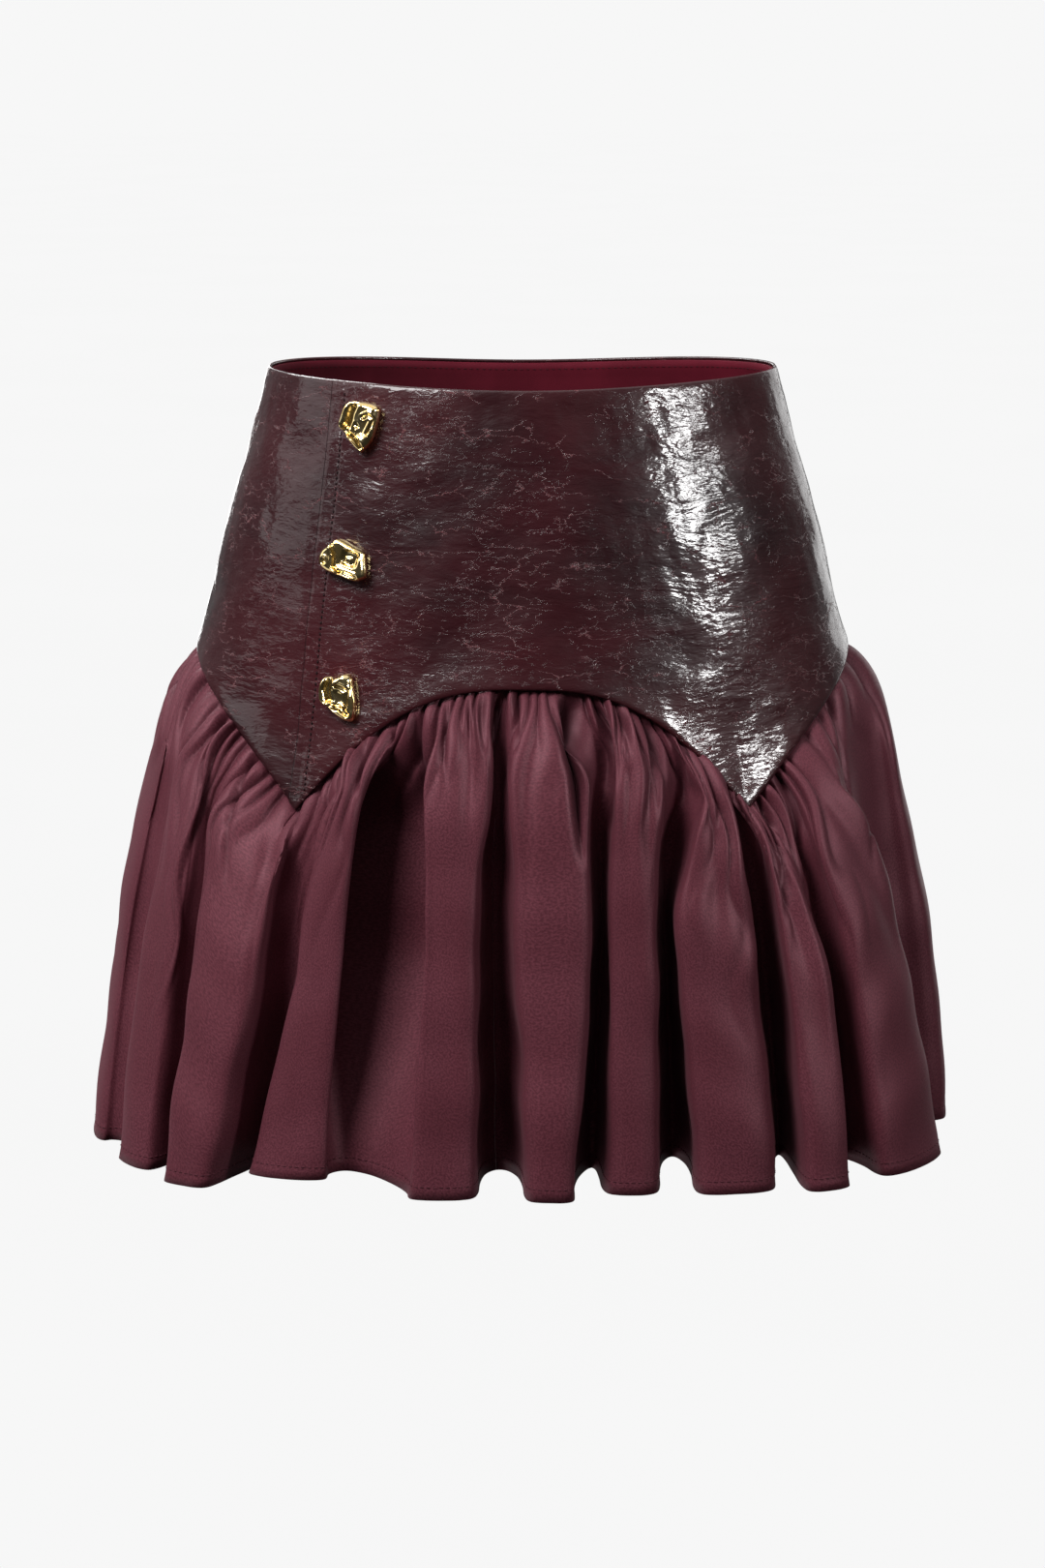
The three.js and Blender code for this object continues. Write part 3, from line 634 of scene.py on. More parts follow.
def round_spline(values, at, turn=0.0):
    """Smooth closed curve through station values [station][row], read at fractional stations."""
    count = len(values)
    base = np.floor(at).astype(int)
    t = (at - base)[:, None]

    def station(index):
        return values[index % count] + turn * (index // count)[:, None]

    p0, p1, p2, p3 = (station(base + k) for k in (-1, 0, 1, 2))
    square = (2 * p0 - 5 * p1 + 4 * p2 - p3) * t**2
    cube = (3 * p1 - p0 - 3 * p2 + p3) * t**3
    return p1 + 0.5 * ((p2 - p0) * t + square + cube)


def push_angle(angle):
    """Direction that a valley is pushed in from: straight at front and back, sideways at the sides."""
    from_front = (angle + 180) % 360 - 180
    turn = 90 * smooth((from_nearest_centre(angle) - SIDE_PUSH_START) / (90 - SIDE_PUSH_START))
    return np.sign(from_front) * np.where(np.abs(from_front) > 90, 180 - turn, turn)


# Small gathers along the seam: rounded puckers with sharp clefts between them, uneven in width,
# height and reach. The deeper pleats among them are given one by one in front (their angles at the
# seam and at the foot, in degrees, and their reach, width and depth in millimetres) and follow in
# the same mix on the other sides.
GATHERS_ROUND = 138
GATHER_SEED = 41
GATHER_HEIGHT, GATHER_LOWEST, GATHER_HIGHEST = 4.6, 1.4, 8.0
GATHER_WIDTH_SPREAD, GATHER_HEIGHT_SPREAD = 0.35, 0.45
GATHER_ROUNDNESS, GATHER_FADE_POWER, GATHER_ONSET = 2.6, 1.3, 1.8
SEAM_SINK, SEAM_SINK_REACH = 3.0, 40
CLEFT_POWER = 4
GATHER_RUNS = (13, 20, 33, 58)
GATHER_RUN_SHARES = (0.25, 0.33, 0.27, 0.15)
PLEAT_START, PLEAT_TAPER, PLEAT_FADE_POWER = 7, 0.45, 0.7
PLEAT_SHADE_DEPTH = 5.0
PLEATS = table(
    "top foot reach width depth",
    (-85.4, -82.0, 50, 2.0, 4.0),
    (-65.6, -58.2, 40, 2.0, 4.0),
    (-56.6, -50.1, 44, 2.0, 4.0),
    (-36.8, -33.3, 26, 1.8, 3.5),
    (-33.0, -30.0, 34, 1.8, 4.0),
    (-28.7, -23.7, 32, 1.8, 3.5),
    (-23.7, -19.6, 60, 1.8, 5.0),
    (-17.1, -14.3, 40, 1.8, 4.0),
    (-12.3, -10.1, 20, 1.5, 3.0),
    (-9.1, -7.4, 34, 2.0, 4.5),
    (-5.0, -4.3, 60, 2.0, 6.0),
    (-1.5, -1.3, 26, 1.5, 3.5),
    (10.6, 11.0, 74, 4.4, 12.0),
    (16.7, 15.5, 60, 2.4, 6.0),
    (22.2, 20.2, 26, 1.8, 3.5),
    (27.3, 24.4, 46, 2.2, 5.5),
    (31.8, 29.4, 38, 2.0, 4.5),
    (48.2, 43.5, 54, 2.2, 5.0),
    (52.7, 48.3, 50, 2.0, 4.5),
    (68.7, 61.7, 64, 2.2, 4.5),
    (103.0, 105.0, 44, 2.0, 4.5),
    (119.5, 121.0, 60, 2.2, 5.0),
    (133.0, 131.5, 36, 1.8, 4.0),
    (146.0, 146.5, 52, 2.0, 4.5),
    (153.0, 155.0, 28, 1.8, 3.5),
    (164.0, 163.0, 66, 3.4, 8.0),
    (177.0, 178.0, 38, 1.8, 4.5),
    (189.0, 188.0, 56, 2.2, 5.0),
    (201.0, 199.0, 30, 1.8, 4.0),
    (213.0, 214.5, 62, 2.4, 6.0),
    (226.0, 224.0, 40, 2.0, 4.5),
    (241.0, 243.5, 48, 2.0, 4.5),
    (256.0, 258.0, 34, 1.8, 4.0),
)


def round_offset(cloth, centre, whole):
    """How far round from a centre, the short way."""
    return (cloth - centre + whole / 2) % whole - whole / 2


def gather_relief(cloth, below):
    """Height of the gathers, and how far each spot lies in a cleft between them, which sets the painted shade
    there.
    """
    random = np.random.default_rng(GATHER_SEED)
    widths = random.lognormal(0, GATHER_WIDTH_SPREAD, GATHERS_ROUND)
    starts = np.concatenate([[0], np.cumsum(widths)]) / widths.sum() * STATIONS_ROUND
    heights = GATHER_HEIGHT * random.lognormal(0, GATHER_HEIGHT_SPREAD, GATHERS_ROUND)
    heights = np.clip(heights, GATHER_LOWEST, GATHER_HIGHEST)
    runs = random.choice(GATHER_RUNS, GATHERS_ROUND, p=GATHER_RUN_SHARES)
    wander = 0.5 * np.sin(cloth * 0.9 + below / 9) + 0.4 * np.sin(cloth * 0.37 - below / 14)
    place = (cloth + wander * smooth(below / 25)) % STATIONS_ROUND
    number = np.clip(np.searchsorted(starts, place, side="right") - 1, 0, GATHERS_ROUND - 1)
    across = 2 * (place - starts[number]) / (starts[number + 1] - starts[number]) - 1
    under = np.maximum(below, 0)
    fade = np.exp(-((under / runs[number]) ** GATHER_FADE_POWER))
    onset = 1 - np.exp(-np.maximum(below + 0.5, 0) / GATHER_ONSET)
    pucker = heights[number] * (1 - np.abs(across) ** GATHER_ROUNDNESS) * fade
    relief = (pucker - SEAM_SINK * np.exp(-under / SEAM_SINK_REACH)) * onset
    # Painted shade: darkest deep in each cleft, fading as the gather fades.
    cleft = np.abs(across) ** CLEFT_POWER * fade * np.minimum(heights[number] / GATHER_HEIGHT, 1)
    return relief, cleft


def pleat_relief(angle, below):
    total = np.zeros_like(below)
    millimetres = 1 / arc_angle(1, angle, POINT_Z)
    for pleat in PLEATS:
        share = np.clip(below / pleat["reach"], 0, 1)
        centre = pleat["top"] + (pleat["foot"] - pleat["top"]) * share
        offset = round_offset(angle, centre, 360) * millimetres
        width = pleat["width"] * (1 - PLEAT_TAPER * share)
        strength = smooth((below + 0.5) / PLEAT_START) * (1 - share) ** PLEAT_FADE_POWER
        total -= pleat["depth"] * np.exp(-((offset / width) ** 2)) * strength
    return total


# Creases, given one by one: fold and station where each starts, how far it leans by its end (in
# stations), the drops below the seam between which it runs, its width and depth, and the power of
# its shape: 2 is rounded, 4 has a flatter bottom. A negative depth is a ridge. The first row is the
# broad hollow at the flap beside the placket.
CREASES = table(
    "fold station lean start end width depth power",
    ("d", 6.4, -0.4, 12, 240, 3.4, 32.0, 4),
    ("b", 0.0, 0.6, 10, 90, 0.5, 1.8, 2),
    ("b", 12.0, -0.5, 6, 70, 0.45, -1.6, 2),
    ("c", 1.2, 1.4, 8, 120, 0.6, 2.0, 2),
    ("c", 12.0, -1.0, 5, 60, 0.5, -1.8, 2),
    ("d", 2.0, 0.8, 12, 150, 0.9, 2.2, 2),
    ("d", 10.5, 0.6, 10, 200, 0.6, -1.8, 2),
    ("e", 0.6, 0.3, 8, 75, 0.45, 2.4, 2),
    ("e", 1.6, 0.5, 4, 55, 0.35, -1.8, 2),
    ("e", 12.2, -0.7, 8, 110, 0.5, 1.6, 2),
    ("f", 1.4, 0.9, 5, 85, 0.5, 4.2, 2),
    ("f", 12.4, 0.2, 6, 95, 0.5, 2.0, 2),
    ("g", 0.8, 0.4, 5, 80, 0.45, 2.2, 2),
    ("g", 12.0, -0.8, 6, 60, 0.4, -1.5, 2),
    ("h", 0.5, -0.6, 10, 120, 0.55, 2.0, 2),
    ("h", 12.5, 0.4, 8, 80, 0.45, 1.8, 2),
    ("i", 0.9, 0.5, 10, 140, 0.5, -1.6, 2),
    ("j", 0.2, 1.0, 8, 130, 0.6, 2.2, 2),
    ("j", 1.6, 0.7, 6, 70, 0.4, -1.6, 2),
    ("k", 0.3, 0.4, 8, 110, 0.6, 2.0, 2),
    ("l", 0.9, -0.6, 6, 80, 0.45, 2.4, 2),
    ("m", 12.2, 0.6, 8, 120, 0.5, -1.8, 2),
    ("n", 1.1, 0.5, 5, 95, 0.5, 2.6, 2),
    ("o", 0.4, -0.4, 10, 140, 0.6, 1.8, 2),
    ("p", 1.5, 0.7, 5, 85, 0.5, 3.0, 2),
    ("p", 12.3, -0.3, 6, 65, 0.4, -1.6, 2),
    ("q", 0.7, 0.5, 8, 100, 0.5, 2.2, 2),
    ("r", 12.4, -0.6, 5, 75, 0.45, 2.0, 2),
    ("s", 0.5, 0.8, 8, 125, 0.5, -1.8, 2),
    ("t", 1.0, 0.6, 6, 90, 0.5, 2.2, 2),
)
fold_number = {fold["fold"]: number for number, fold in enumerate(FOLDS)}


def crease_relief(cloth, below):
    total = np.zeros_like(below)
    for crease in CREASES:
        centre = fold_number[crease["fold"]] * STATIONS + crease["station"]
        share = (below - crease["start"]) / (crease["end"] - crease["start"])
        offset = round_offset(cloth, centre, STATIONS_ROUND) - crease["lean"] * np.clip(share, 0, 1)
        strength = smooth(share * 4 + 0.3) * smooth((1 - share) * 1.6)
        shape = np.exp(-(np.abs(offset / crease["width"]) ** crease["power"]))
        total -= crease["depth"] * shape * strength
    return total


def flounce_ring():
    """Outer points of the whole flounce, going round once from the crest of the first fold, and
    the painted shade at each: darker in the clefts between gathers and in pleats."""
    at = np.arange(STATIONS_ROUND * STATION_COLUMNS) / STATION_COLUMNS
    rows = np.linspace(0, 1, FLOUNCE_ROWS)
    level = np.maximum((rows - TUCKED_ROWS) / (1 - TUCKED_ROWS), 0) ** ROW_POWER
    angles, depths, lifts = fold_stations(level)
    angle = round_spline(angles, at, 360.0)
    depth = round_spline(depths, at)
    lift = round_spline(lifts, at)
    seam = seam_z(angle) + TUCK_RISE * smooth(1 - rows / TUCKED_ROWS)
    z = seam + (HEM_Z - seam) * level + lift
    below = seam_z(angle) - z
    under = np.maximum(below, 0)
    grow = PUFF * (1 - np.exp(-under / PUFF_REACH)) - TUCK_UNDER * np.exp(-under / TUCK_REACH)
    grid = body_point(angle, z, grow)
    push = np.radians(push_angle(angle))
    grid[..., 0] -= np.sin(push) * depth
    grid[..., 1] += np.cos(push) * depth
    cloth = at[:, None] + 0 * below
    gathers, clefts = gather_relief(cloth, below)
    pleats = pleat_relief(angle, below)
    relief = gathers + pleats + crease_relief(cloth, below)
    to_hem = z - (HEM_Z + lift)
    stitched = HEM_STITCH_SINK * np.exp(-(((to_hem - HEM_STITCH_RISE) / HEM_STITCH_REACH) ** 2))
    turned_up = HEM_TURN * smooth(1 - to_hem / HEM_TURN_REACH)
    round_mm = cloth * STATION_LENGTH
    sag = wavering(round_mm, below, **BROAD_SAG) * smooth(under / BROAD_SAG_START)
    sag = sag + wavering(round_mm, below * SAG_STRETCH, **FINE_SAG) * smooth(under / FINE_SAG_START)
    grid = grid + grid_normals(grid, ring=True) * (relief - stitched + turned_up + sag)[..., None]
    return grid, np.clip(clefts - pleats / PLEAT_SHADE_DEPTH, 0, 1)


def cut_panel(ring, first, last):
    """Columns of a ring from first to last, with both edges drawn back by half a seam gap."""
    panel = ring[np.arange(first, last + 1) % len(ring)].copy()
    for edge, beside in ((0, 1), (-1, -2)):
        inward = panel[beside] - panel[edge]
        panel[edge] += inward / np.linalg.norm(inward, axis=-1, keepdims=True) * SEAM_GAP / 2
    return panel


def lengths_along(points, axis):
    """Lengths run so far along an axis of a grid of points."""
    steps = np.linalg.norm(np.diff(points, axis=axis), axis=-1)
    start = np.zeros_like(np.take(steps, [0], axis=axis))
    return np.cumsum(np.concatenate([start, steps], axis=axis), axis=axis)


def satin_material():
    """Heavy matte satin: burgundy with a soft pinkish sheen, a fine grain of weave, and painted shade
    that darkens it in the clefts between gathers and in pleats.
    """
    material, graph, shader = new_material("burgundy satin")
    place = graph.cloth_place()
    cloudy = graph.remap(graph.noise(place, 22, 3), 0.3, 0.7)
    speckle = graph.remap(graph.noise(place, 1000, 2), 0.34, 0.66)
    base = graph.blend(cloudy, (0.114, 0.0285, 0.040), (0.130, 0.034, 0.048))
    grained = graph.blend(graph.math("MULTIPLY", speckle, 0.85), base, (0.064, 0.0145, 0.022))
    # Painted shade: the colour goes darker in the clefts between gathers and in pleats.
    shade = graph.math("MULTIPLY", graph.attribute("painted_cleft_shade"), 0.75)
    rumpled = graph.bump(graph.noise(place, 55, 3), 0.25, 0.0012)
    graph.feed(shader, {
        "Base Color": graph.blend(shade, grained, (0.016, 0.003, 0.005)),
        "Roughness": graph.remap(cloudy, 0, 1, 0.46, 0.54),
        "Specular IOR Level": 0.36,
        "Specular Tint": (1.0, 0.5, 0.58, 1),
        "Sheen Weight": 0.1,
        "Sheen Roughness": 0.4,
        "Sheen Tint": (0.9, 0.42, 0.5, 1),
        "Normal": graph.bump(graph.noise(place, 2200, 2), 0.3, 0.00025, rumpled),
    })
    return material


satin = satin_material()
flounce, cleft_shade = flounce_ring()
flounce_inner = flounce - grid_normals(flounce, ring=True) * SATIN_WALL
for panel in FLOUNCE_PANELS:
    first, last = (
        (fold_number[fold] * STATIONS + station) * STATION_COLUMNS
        for fold, station in (panel["start"], panel["end"])
    )
    if last <= first:
        last += len(flounce)
    outer = cut_panel(flounce, first, last)
    inner = cut_panel(flounce_inner, first, last)
    across = lengths_along(outer[:, -1:], 0)
    down = lengths_along(outer, 1)
    cloth = cloth_shell(panel["name"] + "_satin", outer, inner, np.stack([across + 0 * down, down], -1))
    # Painted shade for the clefts and pleats, kept on the cloth for its material.
    depths = cleft_shade[np.arange(first, last + 1) % len(flounce)]
    deep = cloth.data.attributes.new("painted_cleft_shade", "FLOAT", "POINT")
    deep.data.foreach_set("value", np.tile(depths.ravel(), 2))
    dress(cloth, satin, panel["name"])


# Stitching. Plain lockstitch in thread to match: one row along the placket's lap edge, one round
# the lining below the waist, and one round the turned-up hem. Each row is a run of small rounded
# stitches set out along a path on the cloth.
THREAD_STANDOFF, LINING_THREAD_STANDOFF = 0.12, 0.25
PLACKET_TOP, PLACKET_BOTTOM, PLACKET_MIDDLE_ANGLE = -8, POINT_Z + 10, -50.0
RAY_START = 20


def stitch_tree():
    tree = bpy.data.node_groups.new("row of stitches", "GeometryNodeTree")
    tree.interface.new_socket("Geometry", in_out="INPUT", socket_type="NodeSocketGeometry")
    sizes = dict(pitch=0.0028, stitch_length=0.0019, thread_radius=0.0003)
    for label, value in sizes.items():
        socket = tree.interface.new_socket(label, in_out="INPUT", socket_type="NodeSocketFloat")
        socket.default_value = value
    tree.interface.new_socket("thread", in_out="INPUT", socket_type="NodeSocketMaterial")
    tree.interface.new_socket("Geometry", in_out="OUTPUT", socket_type="NodeSocketGeometry")
    graph = Graph(tree)
    given = graph.add("NodeGroupInput")
    path = graph.add("GeometryNodeMeshToCurve", dict(Mesh=given["Geometry"]))["Curve"]
    spacing = dict(Curve=path, Length=given["pitch"])
    spaced = graph.add("GeometryNodeResampleCurve", spacing, mode="LENGTH")["Curve"]
    tangent = graph.add("GeometryNodeInputTangent")["Tangent"]
    facing = graph.add("FunctionNodeAlignRotationToVector", dict(Vector=tangent), axis="Z")["Rotation"]
    bead = graph.add("GeometryNodeMeshUVSphere", dict(Segments=6, Rings=4, Radius=1.0))["Mesh"]
    radius = given["thread_radius"]
    half_length = graph.math("MULTIPLY", given["stitch_length"], 0.5)
    size = graph.add("ShaderNodeCombineXYZ", dict(X=radius, Y=radius, Z=half_length))["Vector"]
    laid = dict(Points=spaced, Instance=bead, Rotation=facing, Scale=size)
    placed = graph.add("GeometryNodeInstanceOnPoints", laid)["Instances"]
    real = graph.add("GeometryNodeRealizeInstances", dict(Geometry=placed))["Geometry"]
    coloured = graph.add("GeometryNodeSetMaterial", dict(Geometry=real, Material=given["thread"]))
    graph.feed(graph.nodes.new("NodeGroupOutput"), dict(Geometry=coloured["Geometry"]))
    return tree


stitches = stitch_tree()


def stitch_row(name, points, pitch, stitch_length, thread_radius, thread):
    """A row of stitches along points given in millimetres."""
    path = bpy.data.meshes.new(name + "_path")
    path.from_pydata((points * MM).tolist(), [(i, i + 1) for i in range(len(points) - 1)], [])
    piece = bpy.data.objects.new(name, path)
    bpy.context.collection.objects.link(piece)
    modifier = piece.modifiers.new("stitches", "NODES")
    modifier.node_group = stitches
    sizes = dict(pitch=pitch, stitch_length=stitch_length, thread_radius=thread_radius)
    values = {label: size * MM for label, size in sizes.items()}
    values["thread"] = thread
    for socket in stitches.interface.items_tree:
        if socket.in_out == "INPUT" and socket.name in values:
            modifier[socket.identifier] = values[socket.name]
    evaluated = piece.evaluated_get(bpy.context.evaluated_depsgraph_get())
    mesh = bpy.data.meshes.new_from_object(evaluated)
    mesh.name = name
    piece.modifiers.remove(modifier)
    piece.data = mesh
    mesh.shade_smooth()
    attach(piece, "root")
    return piece


def thread_material(name, low, high, roughness):
    material, graph, shader = new_material(name)
    place = graph.object_place()
    fray = graph.remap(graph.noise(place, 600, 2), 0.3, 0.7)
    graph.feed(shader, {
        "Base Color": graph.blend(fray, low, high),
        "Roughness": roughness,
        "Specular IOR Level": 0.15,
        "Normal": graph.bump(graph.noise(place, 3000, 1), 0.4, 0.0001),
    })
    return material


leather_thread = thread_material("placket thread", (0.006, 0.002, 0.003), (0.016, 0.005, 0.006), 0.6)
satin_thread = thread_material("hem thread", (0.055, 0.011, 0.018), (0.09, 0.02, 0.03), 0.6)
lining_thread = thread_material("lining thread", (0.03, 0.003, 0.006), (0.05, 0.005, 0.01), 0.7)

placket_z = np.linspace(PLACKET_TOP, PLACKET_BOTTOM, 120)
placket_inset = arc_angle(LAP_STITCH_INSET, PLACKET_MIDDLE_ANGLE, placket_z)
placket_angle = section_value(placket_z, "lap_angle") + placket_inset
placket_outward = body_normal(placket_angle, placket_z)
placket_before = body_point(placket_angle, placket_z) + placket_outward * RAY_START
leather_surface = BVHTree.FromObject(yoke_front, bpy.context.evaluated_depsgraph_get())
placket_path = []
for spot, outward in zip(placket_before, placket_outward):
    on_leather = leather_surface.ray_cast(Vector(spot * MM), Vector(-outward))[0]
    placket_path.append(np.array(on_leather) / MM + outward * THREAD_STANDOFF)
stitch_row("placket_stitches", np.array(placket_path), 2.6, 1.6, 0.42, leather_thread)


def hem_path(grid, rise):
    """A line round the flounce a little above its hem edge, just off the cloth."""
    outward = grid_normals(grid, ring=True)
    to_edge = grid[..., 2] - grid[:, -1:, 2]
    line = []
    for column in range(0, len(grid), 2):
        row = int(np.argmax(to_edge[column] < rise))
        share = (to_edge[column, row - 1] - rise) / (to_edge[column, row - 1] - to_edge[column, row])
        spot = grid[column, row - 1] + (grid[column, row] - grid[column, row - 1]) * share
        line.append(spot + outward[column, row] * THREAD_STANDOFF)
    return np.array(line)


hem_line = hem_path(flounce, HEM_STITCH_RISE)
stitch_row("hem_stitches", hem_line, 3.0, 2.1, 0.26, satin_thread)

lining_line = lining_angle[:, 0]
lining_row_z = waist_z(lining_line) - LINING_STITCH_DROP
lining_off = -LEATHER_WALL - LINING_GAP - LINING_WALL - LINING_THREAD_STANDOFF
lining_path = body_point(lining_line, lining_row_z)
lining_path = lining_path + body_normal(lining_line, lining_row_z) * lining_off
stitch_row("lining_stitches", lining_path, 3.2, 2.2, 0.28, lining_thread)


# Nugget buttons. Three cast and polished gold nuggets, each with its own irregular outline, a
# tilted face, and grooves and dishes pressed into it. The real ones are sewn on by a shank at the
# back; here each is a closed solid with a flat back, seated just off the leather. An outline is in
# millimetres across and up; a groove is a line, its width and its depth; a dish is a centre, its two
# half sizes, its turn in degrees and its depth.
BUTTONS = [
    dict(
        name="button_1", angle=-44.1, z=-21.9, tilt=(-0.04, 0.06),
        outline=[(5.8, 10.5), (10.7, 8.7), (10.9, 5.1), (10.0, -1.9), (7.9, -8.2), (4.0, -12.3),
                 (3.4, -12.5), (-1.6, -9.1), (-5.3, -4.3), (-8.5, -1.8), (-9.0, 1.3), (-7.7, 5.9),
                 (-6.2, 9.4), (-1.9, 11.1)],
        grooves=[(((-1.1, 8.0), (-2.3, 5.1), (-2.9, 1.4), (-5.0, -3.0)), 1.5, 3.0),
                 (((-3.4, -3.8), (0.9, -6.5), (3.8, -10.6)), 0.9, 1.8),
                 (((4.2, 3.3), (6.8, 4.5), (9.3, 2.9), (8.6, 0.2), (6.6, -4.0)), 0.7, 1.1),
                 (((1.6, -0.6), (1.7, -0.9)), 0.9, 1.0)],
        dishes=[(5.4, -0.6, 2.6, 4.6, -12, 0.9)],
    ),
    dict(
        name="button_2", angle=-43.2, z=-82.8, tilt=(0.02, 0.04),
        outline=[(6.3, 7.5), (12.6, 4.5), (13.8, 2.3), (15.0, -6.4), (13.1, -9.0), (8.5, -9.7),
                 (2.7, -8.0), (-2.4, -6.8), (-7.7, -4.4), (-9.5, -1.1), (-9.0, 2.8), (-5.5, 6.0),
                 (-2.0, 8.9), (0.8, 9.8)],
        grooves=[(((-2.9, 7.2), (-0.8, 2.2), (-0.7, -3.4), (1.8, -5.7)), 0.8, 1.9),
                 (((1.8, -5.7), (10.4, -8.1)), 0.8, 1.3),
                 (((-6.1, -0.9), (-6.1, -1.5)), 0.9, 1.3)],
        dishes=[(7.4, 0.6, 4.0, 3.3, -14, 2.1), (6.4, -0.2, 1.7, 1.4, -14, -1.0)],
    ),
    dict(
        name="button_3", angle=-40.9, z=-145.2, tilt=(-0.02, 0.05),
        outline=[(10.0, 9.8), (10.8, 5.4), (12.4, -1.3), (12.2, -9.8), (8.5, -10.7), (4.0, -8.7),
                 (-0.5, -5.0), (-4.9, -2.4), (-5.7, 0.9), (-5.4, 5.9), (-3.0, 9.7), (2.7, 9.4),
                 (7.3, 11.7)],
        grooves=[(((-0.4, 7.8), (-1.4, 3.5), (-0.4, -1.1)), 1.5, 2.6),
                 (((3.4, 5.4), (9.0, 3.6), (8.3, -5.0)), 0.8, 1.5),
                 (((0.2, -4.0), (5.2, -4.6), (9.0, -7.4)), 1.0, 1.9)],
        dishes=[(5.6, 0.4, 2.6, 3.6, -6, 1.0)],
    ),
]
NUGGET_ROUND, NUGGET_RINGS, NUGGET_PASSES = 120, 40, 6
NUGGET_HEIGHT, NUGGET_BELLY, NUGGET_SHOULDER = 7.4, 3.2, 0.26
NUGGET_SIDE = [(0.84, 0.0), (0.97, 0.45)]
NUGGET_STANDOFF = 0.3
GROOVE_RIM = 0.22
DISH_RIM, DISH_SLOPE = 1.3, 0.6


def nugget_face(flat, button):
    """Height of the face: a tilted plane with rounded grooves along lines, and rimmed dishes."""
    height = NUGGET_HEIGHT + flat @ np.array(button["tilt"])
    for line, width, depth in button["grooves"]:
        nearest = np.full(len(flat), 99.0)
        for start, end in zip(line, line[1:]):
            run = np.subtract(end, start)
            share = np.clip((flat - start) @ run / (run @ run), 0, 1)
            nearest = np.minimum(nearest, np.linalg.norm(flat - start - share[:, None] * run, axis=1))
        height = height - depth * np.exp(-((nearest / width) ** 2))
        height = height + GROOVE_RIM * depth * np.exp(-(((nearest - 2 * width) / width) ** 2))
    for x, y, half_width, half_height, turn, depth in button["dishes"]:
        cosine, sine = math.cos(math.radians(turn)), math.sin(math.radians(turn))
        across = (flat[:, 0] - x) * cosine + (flat[:, 1] - y) * sine
        up = (flat[:, 1] - y) * cosine - (flat[:, 0] - x) * sine
        reach = ((np.abs(across) / half_width) ** 4 + (np.abs(up) / half_height) ** 4) ** 0.25
        height = height - depth * smooth((DISH_RIM - reach) / DISH_SLOPE)
    return height


def nugget_mesh(button):
    """A closed nugget: a flat back, a bulging side (shares of outline and belly) and its face."""
    corners = np.array(button["outline"][::-1], float)
    turn = np.linspace(0, len(corners), NUGGET_ROUND, endpoint=False)
    outline = round_spline(corners, turn)
    for _ in range(NUGGET_PASSES):
        outline = (np.roll(outline, 1, 0) + 2 * outline + np.roll(outline, -1, 0)) / 4
    rings = [outline * width for width, _ in NUGGET_SIDE]
    heights = [np.full(NUGGET_ROUND, NUGGET_BELLY * rise) for _, rise in NUGGET_SIDE]
    for ring in range(NUGGET_RINGS):
        inward = ring / NUGGET_RINGS
        flat = outline * (1 - inward)
        shoulder = math.sqrt(1 - (1 - min(1, inward / NUGGET_SHOULDER)) ** 2)
        rings.append(flat)
        heights.append(NUGGET_BELLY + (nugget_face(flat, button) - NUGGET_BELLY) * shoulder)
    points = [(*place, height) for ring, level in zip(rings, heights) for place, height in zip(ring, level)]
    bottom = len(points)
    points += [(0, 0, 0), (0, 0, float(nugget_face(np.zeros((1, 2)), button)[0]))]
    faces = []
    for ring in range(len(rings) - 1):
        low, high = ring * NUGGET_ROUND, (ring + 1) * NUGGET_ROUND
        for side in range(NUGGET_ROUND):
            after = (side + 1) % NUGGET_ROUND
            faces.append((low + side, low + after, high + after, high + side))
    last = (len(rings) - 1) * NUGGET_ROUND
    for side in range(NUGGET_ROUND):
        after = (side + 1) % NUGGET_ROUND
        faces.append((bottom, after, side))
        faces.append((bottom + 1, last + side, last + after))
    mesh = bpy.data.meshes.new(button["name"] + "_nugget")
    mesh.from_pydata(points, [], faces)
    return mesh


def gold_material():
    """Polished gold plate: warm, almost mirror-bright, a little uneven, with faint casting ripples."""
    material, graph, shader = new_material("polished gold nugget")
    place = graph.object_place()
    worn = graph.remap(graph.noise(place, 220, 3), 0.35, 0.7)
    graph.feed(shader, {
        "Base Color": graph.blend(worn, (1.0, 0.72, 0.3), (1.0, 0.82, 0.44)),
        "Metallic": 1.0,
        "Roughness": graph.remap(worn, 0, 1, 0.09, 0.16),
        "Normal": graph.bump(graph.noise(place, 210, 1), 0.25, 0.0008),
    })
    return material


gold = gold_material()
for button in BUTTONS:
    angle, z = np.float64(button["angle"]), np.float64(button["z"])
    normal = Vector(body_normal(angle, z))
    sideways = Vector((0, 0, 1)).cross(normal).normalized()
    upward = normal.cross(sideways)
    lapped = float(front_relief(angle, z))
    seat = Vector(body_point(angle, z)) + normal * (lapped + NUGGET_STANDOFF)
    turned = Matrix((sideways, upward, normal)).transposed().to_4x4()
    mesh = nugget_mesh(button)
    mesh.transform(Matrix.Scale(MM, 4) @ Matrix.Translation(seat) @ turned)
    mesh.shade_smooth()
    nugget = bpy.data.objects.new(button["name"] + "_nugget", mesh)
    bpy.context.collection.objects.link(nugget)
    dress(nugget, gold, button["name"])


# Studio. An even pale floor well below the floating skirt, a room that is brighter behind, above
# and at the wearer's right, and soft boxes round it: the main one high at the right front, a wide
# one at the right, and two small ones at the left front that streak the leather. Tall ones behind
# light the edges, and one high at the back lights the back.
FLOOR_Z = -1.15
FLOOR_RADIUS = 40.0
PALE = (0.93, 0.93, 0.93)


def paper_material():
    material, graph, shader = new_material("pale studio floor")
    tone = graph.remap(graph.noise(graph.object_place(), 1.5, 2), 0.3, 0.7)
    graph.feed(shader, {
        "Emission Color": graph.blend(tone, PALE, (0.925, 0.925, 0.925)),
        "Emission Strength": 1.0,
        "Base Color": (0, 0, 0, 1),
        "Specular IOR Level": 0.0,
    })
    return material


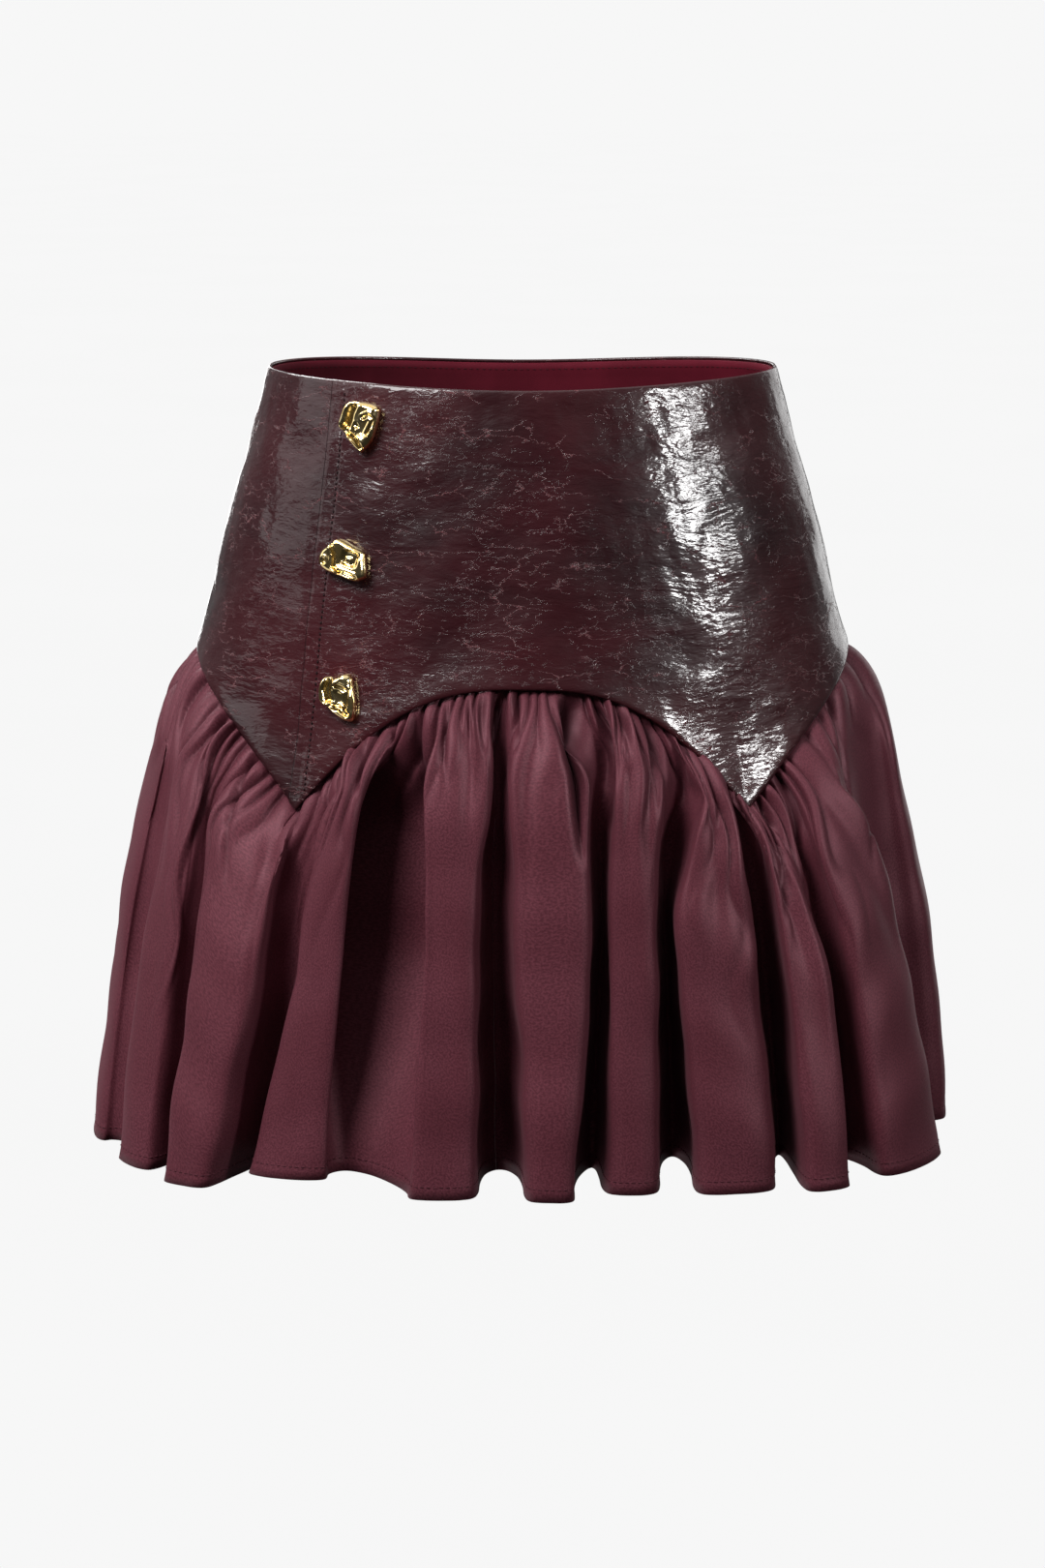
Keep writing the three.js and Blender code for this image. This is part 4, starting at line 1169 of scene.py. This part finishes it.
floor_mesh = bpy.data.meshes.new("floor")
floor_turns = np.linspace(0, 2 * math.pi, 96, endpoint=False)
floor_edge = [(FLOOR_RADIUS * math.cos(turn), FLOOR_RADIUS * math.sin(turn), FLOOR_Z) for turn in floor_turns]
floor_mesh.from_pydata(floor_edge, [], [range(len(floor_edge))])
floor_mesh.materials.append(paper_material())
floor = bpy.data.objects.new("floor", floor_mesh)
bpy.context.collection.objects.link(floor)
floor.visible_diffuse = False
floor.visible_glossy = False

LIGHTS_AIM = Vector((0, 0, -0.18))
GLOSS_ONLY = "level bar"
LIGHTS = table(
    "name azimuth elevation distance size power roll",
    ("main at right front", -42, 44, 2.4, (0.9, 0.9), 54, 0),
    ("slanted box", 51, 18, 2.2, (0.36, 0.2), 11, -50),
    (GLOSS_ONLY, 58, 22.5, 2.2, (0.85, 0.16), 19, 0),
    ("wide box at right", -84, 23, 2.6, (1.5, 1.1), 7.5, 0),
    ("edge at right", -168, 8, 2.4, (0.5, 1.8), 7, 0),
    ("edge at left", 148, 8, 2.4, (1.1, 1.8), 7, 0),
    ("main for the back", -150, 46, 2.4, (0.9, 0.9), 26, 0),
)
for light in LIGHTS:
    data = bpy.data.lights.new(light["name"], "AREA")
    data.shape = "RECTANGLE"
    data.size, data.size_y = light["size"]
    data.energy = light["power"]
    lamp = bpy.data.objects.new(light["name"], data)
    azimuth, elevation = math.radians(light["azimuth"]), math.radians(light["elevation"])
    level = math.cos(elevation)
    towards = Vector((math.sin(azimuth) * level, -math.cos(azimuth) * level, math.sin(elevation)))
    lamp.location = LIGHTS_AIM + towards * light["distance"]
    rolled = Matrix.Rotation(math.radians(light["roll"]), 3, "Z")
    lamp.rotation_euler = (towards.to_track_quat("Z", "Y").to_matrix() @ rolled).to_euler()
    bpy.context.collection.objects.link(lamp)
    lamp.visible_diffuse = light["name"] != GLOSS_ONLY

world = bpy.data.worlds.new("studio")
bpy.context.scene.world = world
world.use_nodes = True
room = Graph(world.node_tree)
heading = room.add("ShaderNodeSeparateXYZ", {0: room.add("ShaderNodeTexCoord")["Generated"]})
behind = room.remap(heading["Y"], -0.1, 0.9, 0.055, 0.2)
above = room.remap(heading["Z"], -0.4, 0.2, 0.45, 1.0)
ceiling = room.remap(heading["Z"], 0.6, 0.85, 0.0, 0.9)
high = room.remap(heading["Z"], 0.32, 0.5)
low = room.remap(heading["Z"], -0.5, -0.25, 1.0, 0.0)
right_side = room.remap(heading["X"], -0.8, -0.4, 0.9, 0.0)
glow = room.math("MULTIPLY", right_side, room.math("MAXIMUM", high, low))
walls = room.math("MULTIPLY", behind, above)
lit = room.math("ADD", walls, room.math("MAXIMUM", ceiling, glow))
lighting = room.nodes["Background"]
room.feed(lighting, {"Color": (*PALE, 1), "Strength": lit})
seen = room.add("ShaderNodeBackground", {"Color": (*PALE, 1)})[0]
in_view = room.add("ShaderNodeLightPath")["Is Camera Ray"]
chosen = room.add("ShaderNodeMixShader", {0: in_view, 1: lighting.outputs[0], 2: seen})[0]
room.feed(room.nodes["World Output"], {"Surface": chosen})
bpy.context.scene.view_settings.view_transform = "Standard"
bpy.context.scene.view_settings.look = "None"


# Camera. It stands in front of the skirt and a little above it, as in the picture, with a long
# lens, and the middle of the frame is 208 mm below the waist.
CAMERA_ELEVATION = 12
CAMERA_DISTANCE = 1.8
CAMERA_TARGET = Vector((0, 0, -0.2079))
CAMERA_LENS = 83.33
camera_data = bpy.data.cameras.new("camera")
camera_data.sensor_width = 36
camera_data.lens = CAMERA_LENS
camera = bpy.data.objects.new("camera", camera_data)
tilt = math.radians(CAMERA_ELEVATION)
camera.location = CAMERA_TARGET + Vector((0, -math.cos(tilt), math.sin(tilt))) * CAMERA_DISTANCE
camera.rotation_euler = (math.pi / 2 - tilt, 0, 0)
bpy.context.collection.objects.link(camera)
bpy.context.scene.camera = camera

bpy.context.view_layer.update()
